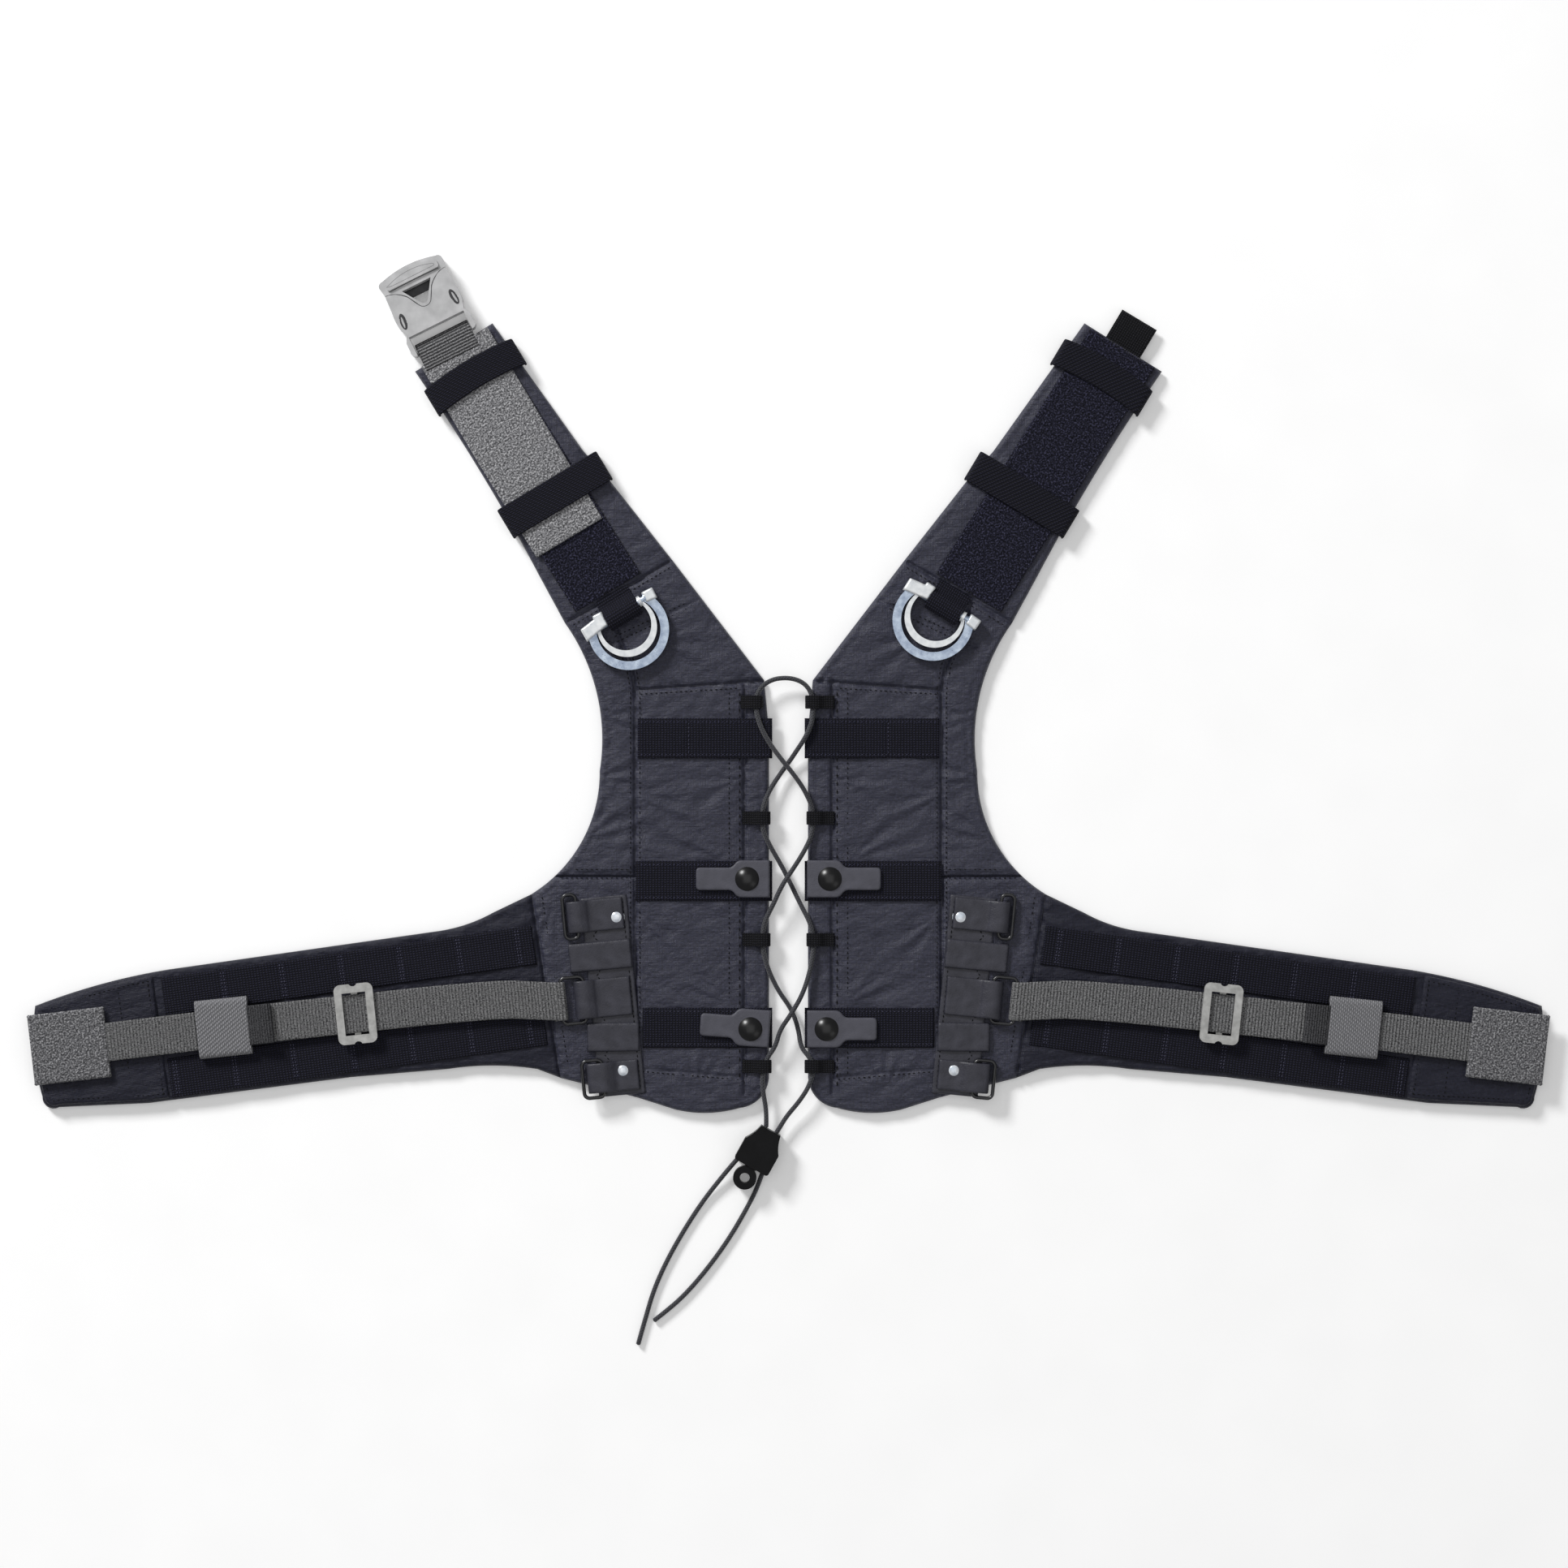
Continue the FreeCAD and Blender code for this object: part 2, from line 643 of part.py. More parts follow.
def buckle():
    """Side-release buckle: the body with its webbing slot and side windows, and the insert closed in it"""
    wide = size("buckle_wide") / 2
    long = size("buckle_long") / 2
    shell = [
        (wide - 3, -long),
        (wide - 0.6, -long + 0.8, wide, -long + 4),
        (wide, -17),
        (wide - 2.4, -12.5),
        (wide - 0.4, -7),
        (wide, -2, wide - 0.4, 4),
        (wide - 1.2, SEAM_HEIGHT),
        (15, 14.4, 8.6, 9.2),
        (4.2, 1.2),
        (0, -0.9, -4.2, 1.2),
        (-8.6, 9.2),
        (-15, 14.4, -wide + 1.2, SEAM_HEIGHT),
        (-wide + 0.4, 4),
        (-wide, -2, -wide + 0.4, -7),
        (-wide + 2.4, -12.5),
        (-wide, -17),
        (-wide, -long + 4),
        (-wide + 0.6, -long + 0.8, -wide + 3, -long),
    ]
    outer = sheet_piece("buckle_body_shell", [shell], "buckle_thick", buckle_place(BUCKLE_FLOOR))
    place = buckle_place()
    slot_high = BUCKLE_FLOOR + size("buckle_thick") + 1
    webbing_slot = box("buckle_webbing_slot", (-19.5, -24.6, 0), (19.5, -14, slot_high), place)
    bar_step = box("buckle_bar_step", (-19.5, -long - 1, 6.5), (19.5, -24, slot_high), place)
    cavity = box("buckle_cavity", (-17.4, -10, 4), (17.4, 22, 10), place)
    windows = []
    for end in (-1, 1):
        low_x = min(end * 16, end * 30)
        window = box(f"buckle_window_{end}".replace("-", "m"), (low_x, -8.4, 4), (low_x + 14, 3.6, 10), place)
        windows.append(window)
    hollow = fuse("buckle_body_hollow", [webbing_slot, bar_step, cavity] + windows)
    export(cut("buckle_body", outer, hollow), "buckle_body")

    clear = 0.35
    crown = [
        (-wide + 1.2, SEAM_HEIGHT + clear),
        (-15, 14.4 + clear, -8.6 + clear, 9.2 + clear),
        (-4.2 + clear, 1.2 + clear),
        (0, -0.9 + clear, 4.2 - clear, 1.2 + clear),
        (8.6 - clear, 9.2 + clear),
        (15, 14.4 + clear, wide - 1.2, SEAM_HEIGHT + clear),
        (wide - 0.3, 21.4),
        (wide - 0.9, 24.3, wide - 3.6, 25.4),
        (0, long + 1.4, -wide + 3.6, 25.4),
        (-wide + 0.9, 24.3, -wide + 0.3, 21.4),
    ]
    head = sheet_piece("buckle_insert_head", [crown], "buckle_thick", buckle_place(BUCKLE_FLOOR))
    opening = [[(-10.2, 14.4), (-2.4, 2.6), (0, 1.4, 2.4, 2.6), (10.2, 14.4)]]
    cut_through(head, "buckle_insert_opening", opening)
    prongs = []
    for end in (-1, 1):
        low_x = min(end * 11.5, end * 16.8)
        prong = box(f"buckle_prong_{end}".replace("-", "m"), (low_x, -9, 4.3), (low_x + 5.3, 17.5, 9.7), place)
        prongs.append(prong)
    rib = [(17.4, 18.2), (18.3, 19.2), (18.3, 22.4), (0, 26.6, -18.3, 22.4), (-18.3, 19.2), (-17.4, 18.2)]
    rib_level = BUCKLE_FLOOR + size("buckle_thick") - 0.5
    grip = sheet_piece("buckle_insert_grip", [rib], 1.9, buckle_place(rib_level))
    export(fuse("buckle_insert", [head, grip] + prongs), "buckle_insert")


def end_tab():
    """The short webbing end that shows past the right shoulder pad"""
    outline = [rectangle(-3, 22.8, 190.4, 210)]
    place = frame(SHOULDER_SEAM, RIGHT, dz=3)
    export(sheet_piece("right_end_tab", outline, "leather_thick", place, RIGHT), "right_end_tab")


# ---------------------------------------------------------------- belt wings
BELT_ROWS = {"upper": (4, 244, 27.2), "lower": (4, 247, -24.8)}
STRAP_LOW = 10
LOOP_WIDE = 22.4
ADJUSTER_AT = 122.8
KEEPER_AT = 208


def belt(half, side):
    """Belt pad with its two webbing rows and tip cover"""
    pad = sheet_piece(half + "_belt_pad", [BELT_OUTLINE], "limb_foam", frame(BELT_SEAM, side), side)
    export(pad, half + "_belt_pad")
    rows = [row(*span, size("web_wide")) for span in BELT_ROWS.values()]
    tip = [
        (249, 42),
        (286, 38.6, 325, 31.6),
        (329.6, 3, 328.4, -24.6),
        (326.8, -30, 319.4, -31.8),
        (262, -37),
        (249, -37.4),
    ]
    place = frame(BELT_SEAM, side, dz=CLOTH_TOP)
    name = half + "_belt_webbing"
    export(sheet_piece(name, rows + [tip], "web_thick", place, side), name)


def belt_strap(half, side):
    """Strap looped round the middle ring's outer bar, its folded tail and the fuzzy patch at its end"""
    name = half + "_belt_strap"
    half_wide = size("web_wide") / 2
    level = STRAP_LOW
    thick = size("web_thick")
    place = frame(STRAP_LINE, side)
    run = sorted((side * 29, side * 284))
    stack = sorted((side * 176, side * 190))
    stack_from = level + thick - 0.1
    strap = box(name + "_run", (run[0], -half_wide, level), (run[1], half_wide, level + thick), place)
    tail = box(name + "_tail", (stack[0], -half_wide, stack_from), (stack[1], half_wide, stack_from + 2.5), place)
    neck = [(-7.4, -17.4), (30, -half_wide), (30, half_wide), (-7.4, 5)]
    neck_piece = sheet_piece(name + "_neck", [neck], "web_thick", frame(STRAP_LINE, side, dz=level), side)
    inner, bar, low, high = WIRE_RINGS["middle"]
    bar_place = frame(RING_PATCH, side, bar, (low + high) / 2, WIRE_LEVEL)
    sleeve = cylinder(name + "_sleeve", "sizes.ring_wire / 2 + sizes.web_thick", LOOP_WIDE,
                      (0, -LOOP_WIDE / 2, 0), (0, 1, 0), bar_place)
    hollow = cylinder(name + "_bar_hole", "sizes.ring_wire / 2 + sizes.run_clearance", 40, (0, -20, 0), (0, 1, 0),
                      bar_place)
    open_loop = cut(name + "_loop", sleeve, hollow)
    patch_place = frame(STRAP_LINE, side, 307.6, 0, STRAP_LOW - 0.6)
    patch = sheet_piece(name + "_patch", [row(-24.7, 24.7, 0, 45.2)], "web_thick * 1.6", patch_place, side)
    export(fuse(name, [strap, tail, neck_piece, open_loop, patch]), name)


def belt_adjuster(half, side):
    """Two-lobed frame over the strap with a lower centre bar under it"""
    name = half + "_belt_adjuster"
    length = 12.5
    width = 19.25
    top = STRAP_LOW + size("web_thick") + 0.2
    outline = [
        (-length, -width + 4), (-length + 1.2, -width + 1.2, -length + 4, -width),
        (-2.5, -width), (0, -width + 1.6, 2.5, -width),
        (length - 4, -width), (length - 1.2, -width + 1.2, length, -width + 4),
        (length, width - 4), (length - 1.2, width - 1.2, length - 4, width),
        (2.5, width), (0, width - 1.6, -2.5, width),
        (-length + 4, width), (-length + 1.2, width - 1.2, -length, width - 4),
    ]
    window = rectangle(-7.6, 7.6, -13.6, 13.6)
    place = frame(STRAP_LINE, side, ADJUSTER_AT, 0)
    plate_place = frame(STRAP_LINE, side, ADJUSTER_AT, 0, top)
    plate = sheet_piece(name + "_plate", [outline, window], "leather_thick", plate_place, side)
    low = WEB_TOP + 0.3
    bar = box(name + "_bar", (-2, -17, low), (2, 17, low + 2), place)
    posts = [
        box(name + "_post_1", (-2, -17, low), (2, -13.7, top + 0.5), place),
        box(name + "_post_2", (-2, 13.7, low), (2, 17, top + 0.5), place),
    ]
    export(fuse(name, [plate, bar] + posts), name)


def belt_keeper(half, side):
    """Elastic sleeve round the strap"""
    name = half + "_belt_keeper"
    low = WEB_TOP + 0.5
    high = STRAP_LOW + size("web_thick")
    sleeve = [(-18, low), (-16.6, low - 0.1), (16.6, low - 0.1), (18, low), (18, high + 1.2), (16.6, high + 1.9),
              (-16.6, high + 1.9), (-18, high + 1.2)]
    inside = rectangle(-14.5, 14.5, STRAP_LOW - 0.3, high + 0.4)
    place = frame(STRAP_LINE, side, KEEPER_AT, 0)
    export(section_piece(name, "YZ_Plane", [sleeve, inside], 34, place), name)


# ---------------------------------------------------------------- shock cord and its lock
CORD_IN_LOOP = 8.2
LACING_ROUTE = [
    (-6.4, -285.3, 6),
    (-1.2, -276.6, 6.6),
    (6.6, -267.6, 7.7),
    (13.2, -257.6, CORD_IN_LOOP),
    (16.6, -246, CORD_IN_LOOP),
    (13.4, -238.6, CORD_IN_LOOP),
    (7.8, -232.4, 6.4),
    (6.4, -220.5, 5),
    (1.8, -207.8, 5),
    (-6.6, -196.3, 5.4),
    (-13.3, -182.2, 7.6),
    (-16.8, -168.5, CORD_IN_LOOP),
    (-16.2, -153.4, CORD_IN_LOOP),
    (-9.6, -140.6, 10.4),
    (-4.6, -129.3, 11),
    (1.9, -119.6, 11),
    (9.2, -108.4, 9.6),
    (15.3, -96.4, CORD_IN_LOOP),
    (16.2, -80.9, CORD_IN_LOOP),
    (10.6, -67.9, 9.6),
    (3.2, -57.3, 11),
    (-4.9, -47.5, 11),
    (-12.6, -37, 10),
    (-18.4, -26, 9.7),
    (-21.5, -14, CORD_IN_LOOP),
    (-19.6, -3.4, 8.4),
    (-11.2, 3.4, 8.6),
    (0.4, 4.6, 8.6),
    (9.6, 1.6, 8.4),
    (14.9, -5.2, CORD_IN_LOOP),
    (16, -16.6, 8.3),
    (14.6, -26, 9.8),
    (10.2, -35, 9.8),
    (5.2, -42.4, 7),
    (0.8, -49, 5),
    (-6.2, -58.4, 5),
    (-13.2, -69.5, 6.6),
    (-17, -80.6, CORD_IN_LOOP),
    (-16.8, -93.2, CORD_IN_LOOP),
    (-11.2, -104.6, 6.8),
    (-4.8, -115.4, 5),
    (1.8, -128.4, 5),
    (7.8, -141.1, 6.6),
    (15, -154.6, CORD_IN_LOOP),
    (16.4, -169.6, CORD_IN_LOOP),
    (13.5, -184.8, 9.6),
    (8.9, -198.8, 11),
    (1.4, -211.5, 11),
    (-5.6, -221.4, 9.8),
    (-8.2, -231.8, 8.8),
    (-14.4, -240.2, CORD_IN_LOOP),
    (-16.8, -250.4, CORD_IN_LOOP),
    (-16.3, -261.4, 7.8),
    (-14.3, -272, 6.6),
    (-14.2, -282.6, 6),
]
LEFT_TAIL_ROUTE = [
    (-14.4, -283.9, 6),
    (-24.1, -294.6, 6),
    (-34.2, -305.6, 5.6),
    (-43.6, -317, 3.4),
    (-54.9, -331.5, 1.7),
    (-66, -348.4, 1.6),
    (-77.6, -368.7, 1.6),
    (-86.3, -387.9, 1.6),
    (-91.9, -406.9, 1.6),
    (-96.5, -423.4, 1.6),
]
RIGHT_TAIL_ROUTE = [
    (-8, -287.5, 6),
    (-12.2, -299.6, 6),
    (-16.5, -312.6, 5.6),
    (-20.9, -324.7, 3.2),
    (-27.4, -337.4, 1.7),
    (-37.8, -355.2, 1.6),
    (-50.9, -373.6, 1.6),
    (-64.9, -390.1, 1.6),
    (-76.2, -400.5, 1.6),
    (-86.2, -408.2, 1.6),
]
LOCK_PLACE = App.Placement(Vector(-11.2, -285.75, 0), App.Rotation(Vector(0, 0, 1), -29.1))
LOCK_MIDDLE = size("lock_thick") / 2
BORE_DEEP = 14
EYELET_AT = 34.6


def lock_frame(dz=0):
    """The middle of the cord lock's upper end; the lock runs along -y from there"""
    return LOCK_PLACE.multiply(App.Placement(Vector(0, 0, dz), App.Rotation()))


def cord_lock():
    """Flared lock body with two slanting cord channels and a bore for its plunger, plunger and spring"""
    length = size("lock_length")
    outline = [
        (7, 0), (8.6, -5.5, 12.2, -12), (12.2, -length + 2), (11.6, -length + 0.5, 10.2, -length),
        (-10.2, -length), (-11.6, -length + 0.5, -12.2, -length + 2), (-12.2, -12), (-8.6, -5.5, -7, 0),
    ]
    shell = sheet_piece("cord_lock_shell", [outline], "lock_thick", lock_frame())
    bore_radius = "sizes.plunger_diameter / 2 + sizes.run_clearance"
    bore = cylinder("cord_lock_bore", bore_radius, BORE_DEEP + 1, (0, -length - 1, LOCK_MIDDLE), (0, 1, 0),
                    lock_frame())
    recess = box("cord_lock_recess", (-6.4, -length - 1, LOCK_MIDDLE - 4.3), (6.4, -length + 3.6, LOCK_MIDDLE + 4.3),
                 lock_frame())
    channels = []
    for which, route in (("left", LEFT_TAIL_ROUTE), ("right", RIGHT_TAIL_ROUTE)):
        start = Vector(*route[0])
        along = (Vector(*route[2]) - start).normalize()
        channel = cylinder(f"cord_lock_{which}_channel", "sizes.cord_diameter / 2 + 0.35", length + 12,
                           tuple(start - along * 5), tuple(along))
        channels.append(channel)
    hollow = fuse("cord_lock_hollow", [bore, recess] + channels)
    export(cut("cord_lock_body", shell, hollow), "cord_lock_body")

    shank_from = 19.5
    eyelet_high = 8
    shank = cylinder("plunger_shank", "sizes.plunger_diameter / 2", EYELET_AT - 7 - shank_from,
                     (0, -EYELET_AT + 7, LOCK_MIDDLE), (0, 1, 0), lock_frame())
    disc = cylinder("plunger_disc", 7.5, eyelet_high, (0, -EYELET_AT, LOCK_MIDDLE - eyelet_high / 2), (0, 0, 1),
                    lock_frame())
    hole = cylinder("plunger_hole", 3.2, eyelet_high + 2, (0, -EYELET_AT, LOCK_MIDDLE - eyelet_high / 2 - 1),
                    (0, 0, 1), lock_frame())
    solid = fuse("plunger_solid", [shank, disc])
    export(cut("cord_lock_plunger", solid, hole), "cord_lock_plunger")

    wire_radius = 0.55
    coil_radius = 3.1
    rest_length = 5.4
    per_turn = 8
    steps = 2 * per_turn
    coil = []
    for step in range(steps + 1):
        angle = 2 * math.pi * step / per_turn
        coil.append(Vector(coil_radius * math.cos(angle), coil_radius * math.sin(angle), rest_length * step / steps))
    spring = doc.addObject("Part::Feature", "cord_lock_spring")
    spring.Shape = swept_rod(rounded_path(coil, [coil_radius * 0.85] * (steps - 1)), wire_radius)
    spring_foot = -shank_from + wire_radius + 0.05
    upright = App.Rotation(Vector(0, 0, 1), Vector(0, 1, 0))
    spring.Placement = lock_frame().multiply(App.Placement(Vector(0, spring_foot, LOCK_MIDDLE), upright))
    export(spring, "cord_lock_spring")


for half, side in SIDES.items():
    torso(half, side)
    for which in ("upper", "lower"):
        snap_tab(half, side, which)
    ring_holder(half, side)
    rivets(half, side)
    for which in WIRE_RINGS:
        wire_ring(half, side, which)
    d_ring(half, side)
    shoulder(half, side)
    belt(half, side)
    belt_strap(half, side)
    belt_adjuster(half, side)
    belt_keeper(half, side)
grey_shoulder_strap()
buckle()
end_tab()
cord("lacing_cord", LACING_ROUTE)
cord("left_cord_tail", LEFT_TAIL_ROUTE)
cord("right_cord_tail", RIGHT_TAIL_ROUTE)
cord_lock()

doc.recompute()
for item in doc.Objects:
    if "Invalid" in item.State or "Error" in item.State:
        raise RuntimeError(f"{item.Name} failed: {item.State}")
os.makedirs("parts", exist_ok=True)
for part, label in EXPORTED:
    if part.Shape.isNull() or not part.Shape.isValid():
        raise RuntimeError(f"{label} has no valid shape")
    part.Shape.exportStep(f"parts/{label}.step")
    print(label, len(part.Shape.Solids), round(part.Shape.Volume, 1))
print(len(EXPORTED), "sub-parts")
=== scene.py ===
import bmesh
import bpy
import math
import numpy as np
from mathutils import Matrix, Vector, noise
from mathutils.geometry import delaunay_2d_cdt


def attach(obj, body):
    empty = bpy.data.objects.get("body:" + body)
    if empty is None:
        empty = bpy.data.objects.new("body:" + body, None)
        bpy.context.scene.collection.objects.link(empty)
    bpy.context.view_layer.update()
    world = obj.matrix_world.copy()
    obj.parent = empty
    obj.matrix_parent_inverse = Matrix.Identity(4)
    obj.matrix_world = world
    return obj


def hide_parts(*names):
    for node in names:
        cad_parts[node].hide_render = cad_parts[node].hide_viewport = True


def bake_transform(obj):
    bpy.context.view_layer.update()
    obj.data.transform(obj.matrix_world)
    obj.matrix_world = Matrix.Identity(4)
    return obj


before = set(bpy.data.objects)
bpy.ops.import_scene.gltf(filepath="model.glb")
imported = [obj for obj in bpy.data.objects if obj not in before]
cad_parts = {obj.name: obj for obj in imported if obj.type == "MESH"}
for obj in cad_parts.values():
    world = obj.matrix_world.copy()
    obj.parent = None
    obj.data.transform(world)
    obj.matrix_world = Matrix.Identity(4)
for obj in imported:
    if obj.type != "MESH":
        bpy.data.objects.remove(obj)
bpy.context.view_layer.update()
MM = 0.001
SIDES = {"left": -1, "right": 1}
CLOTH_TOP = 6.0
WEB_TOP = 7.5

# Seats of the local frames on the right half: (x, y, turn in degrees). Millimetres throughout.
TORSO = (0, 0, 0)
SHOULDER = (108.7, 59.3, -31)
BELT = (155.5, -193.4, -8)
STRAP = (154.87, -197.86, -6)
RINGS = (97.5, -200, -5.5)


# ---------------------------------------------------------------- shapes in a half's own coordinates
def seat_point(seat, x, y):
    """Local coordinates to a half's own: u outward from the centre line, v along the vest"""
    angle = math.radians(seat[2])
    cos, sin = math.cos(angle), math.sin(angle)
    return seat[0] + x * cos - y * sin, seat[1] + x * sin + y * cos


def straight(start, end, step):
    """Even points from a start to an end, without the first"""
    count = max(1, int(np.linalg.norm(end - start) / step))
    return [start + (end - start) * (k + 1) / count for k in range(count)]


def trace(outline, step=2.0, closed=True):
    """Corners (x, y) and arcs (middle x, middle y, x, y) as a line of points"""
    ends = [np.array(item[-2:], float) for item in outline]
    points = [] if closed else [ends[0]]
    for index in range(0 if closed else 1, len(outline)):
        item, start, end = outline[index], ends[index - 1], ends[index]
        if len(item) == 4:
            points += arc(start, np.array(item[:2], float), end, step)
        else:
            points += straight(start, end, step)
    return np.array(points)


def arc(start, middle, end, step):
    """Points of the arc through three points, without the first"""
    (ax, ay), (bx, by), (cx, cy) = start, middle, end
    double = 2 * (ax * (by - cy) + bx * (cy - ay) + cx * (ay - by))
    squares = [ax * ax + ay * ay, bx * bx + by * by, cx * cx + cy * cy]
    x = (squares[0] * (by - cy) + squares[1] * (cy - ay) + squares[2] * (ay - by)) / double
    y = (squares[0] * (cx - bx) + squares[1] * (ax - cx) + squares[2] * (bx - ax)) / double
    centre = np.array([x, y])
    radius = np.linalg.norm(start - centre)
    angles = [math.atan2(*(point - centre)[::-1]) for point in (start, middle, end)]
    turn = (angles[2] - angles[0]) % (2 * math.pi)
    if (angles[1] - angles[0]) % (2 * math.pi) > turn:
        turn -= 2 * math.pi
    count = max(3, int(abs(turn) * radius / step))
    sweep = angles[0] + turn * np.arange(1, count + 1) / count
    return [centre + radius * np.array([math.cos(a), math.sin(a)]) for a in sweep]


def distance_to_line(points, line, closed=False):
    """Distance of each point to a line of points"""
    line = np.asarray(line, float)
    starts = line if closed else line[:-1]
    ends = np.roll(line, -1, axis=0) if closed else line[1:]
    nearest = np.full(len(points), 1e9)
    for start, end in zip(starts, ends):
        along = end - start
        share = np.clip((points - start) @ along / max(along @ along, 1e-9), 0, 1)
        gap = np.linalg.norm(points - start - share[:, None] * along, axis=1)
        nearest = np.minimum(nearest, gap)
    return nearest


def inside(points, line):
    """Whether each point lies inside a closed line"""
    x, y = points[:, 0], points[:, 1]
    within = np.zeros(len(points), bool)
    for (x1, y1), (x2, y2) in zip(line, np.roll(line, -1, axis=0)):
        crosses = (y1 > y) != (y2 > y)
        if y1 != y2:
            within ^= crosses & (x < (x2 - x1) * (y - y1) / (y2 - y1) + x1)
    return within


def rolls(points, size, seed, octaves=2):
    """Soft noise from -1 to 1 at each point, with features of a size in millimetres"""
    shift = Vector((seed * 17.3, seed * 7.1, seed * 3.7))
    values = [noise.fractal(Vector((x, y, 0)) / size + shift, 1.0, 2.0, octaves) for x, y in points]
    return np.array(values)


def rounded(distance, edge):
    """Height share of a rolled edge: 0 at the edge, 1 from a given distance in"""
    share = np.clip(distance / edge, 0, 1)
    return np.sqrt(1 - (1 - share) ** 2)


def mesh_piece(name, side, points, faces, coordinates, material):
    """A mesh from half coordinates in mm, mirrored on the left, with its weave coordinates in cm"""
    points = np.array(points, float)
    points[:, 0] *= side
    faces = [tuple(reversed(face)) if side < 0 else tuple(face) for face in faces]
    mesh = bpy.data.meshes.new(name)
    mesh.from_pydata((points * MM).tolist(), [], faces)
    layer = mesh.uv_layers.new(name="weave")
    corners = np.empty(len(mesh.loops), np.int64)
    mesh.loops.foreach_get("vertex_index", corners)
    layer.data.foreach_set("uv", (np.asarray(coordinates)[corners] / 10).astype(np.float32).ravel())
    mesh.shade_smooth()
    mesh.update()
    piece = bpy.data.objects.new(name, mesh)
    bpy.context.scene.collection.objects.link(piece)
    mesh.materials.append(material)
    return piece


def panel(name, side, outline, low, high, material, seat=TORSO, edge=2.5, step=2.5, relief=None, seams=()):
    """A flat padded shape: an outline with rolled edges and a relief on its upper face"""
    line = trace(outline, step)
    turned = np.roll(line, -1, axis=0)
    if (line[:, 0] * turned[:, 1] - line[:, 1] * turned[:, 0]).sum() < 0:
        line = line[::-1]
    lowest, highest = line.min(axis=0), line.max(axis=0)
    xs = np.arange(lowest[0], highest[0], step)
    ys = np.arange(lowest[1], highest[1], step * 0.87)
    grid = np.array([(x + (row % 2) * step / 2, y) for row, y in enumerate(ys) for x in xs])
    extra = [rim_ring(line, edge * share) for share in (0.12, 0.42)]
    for seam in seams:
        grid = grid[distance_to_line(grid, seam) > step * 0.9]
        extra += [beside(seam, gap) for gap in (0, -0.9, 0.9, -2, 2)]
    extra = [part[inside(part, line)] for part in extra]
    extra = [part[distance_to_line(part, line, closed=True) > edge * 0.1] for part in extra]
    grid = grid[inside(grid, line)]
    grid = grid[distance_to_line(grid, line, closed=True) > max(edge * 0.6, step * 0.45)]
    rim = len(line)
    flat = np.vstack([line] + extra + [grid])
    ring = [(index, (index + 1) % rim) for index in range(rim)]
    made = delaunay_2d_cdt([Vector(point) for point in flat], ring, [], 1, 1e-6)
    flat = np.array([tuple(point) for point in made[0]])
    triangles = [tuple(face) for face in made[2]]
    gap = distance_to_line(flat, line, closed=True)
    gap[gap < 1e-4] = 0
    share = rounded(gap, edge)
    middle = low + (high - low) * 0.4
    top = middle + (high - middle) * share
    if relief is not None:
        top = top + relief(flat) * share
    under = middle + (low - middle) * share
    u, v = seat_point(seat, flat[:, 0], flat[:, 1])
    upper = np.column_stack([u, v, top])
    lower = np.column_stack([u, v, under])
    inner = np.where(gap != 0)[0]
    mapping = np.arange(len(flat))
    mapping[inner] = len(flat) + np.arange(len(inner))
    points = np.vstack([upper, lower[inner]])
    faces = oriented(triangles, flat)
    faces += [tuple(int(mapping[i]) for i in reversed(face)) for face in faces]
    coordinates = np.vstack([flat, flat[inner]])
    return mesh_piece(name, side, points, faces, coordinates, material)


def rim_ring(line, gap):
    """Points at a gap inside a closed line"""
    along = np.roll(line, -1, axis=0) - np.roll(line, 1, axis=0)
    ring = line + gap * to_left(along)
    ring = ring[inside(ring, line)]
    return ring[distance_to_line(ring, line, closed=True) > gap * 0.9]


def oriented(triangles, flat):
    """Triangles turned to face up"""
    turned = []
    for face in triangles:
        a, b, c = flat[face[0]], flat[face[1]], flat[face[2]]
        area = (b[0] - a[0]) * (c[1] - a[1]) - (b[1] - a[1]) * (c[0] - a[0])
        turned.append(face if area > 0 else tuple(reversed(face)))
    return turned


def smooth_line(points, step=1.2):
    """A curved line through points, evenly sampled"""
    points = np.array(points, float)
    padded = np.vstack([2 * points[0] - points[1], points, 2 * points[-1] - points[-2]])
    samples = []
    for index in range(1, len(padded) - 2):
        p0, p1, p2, p3 = padded[index - 1:index + 3]
        count = max(2, int(np.linalg.norm(p2 - p1) / step) + 1)
        for t in np.arange(count) / count:
            near = 2 * p1 + (p2 - p0) * t + (2 * p0 - 5 * p1 + 4 * p2 - p3) * t**2
            samples.append((near + (3 * p1 - p0 - 3 * p2 + p3) * t**3) / 2)
    samples.append(padded[-2])
    return np.array(samples)


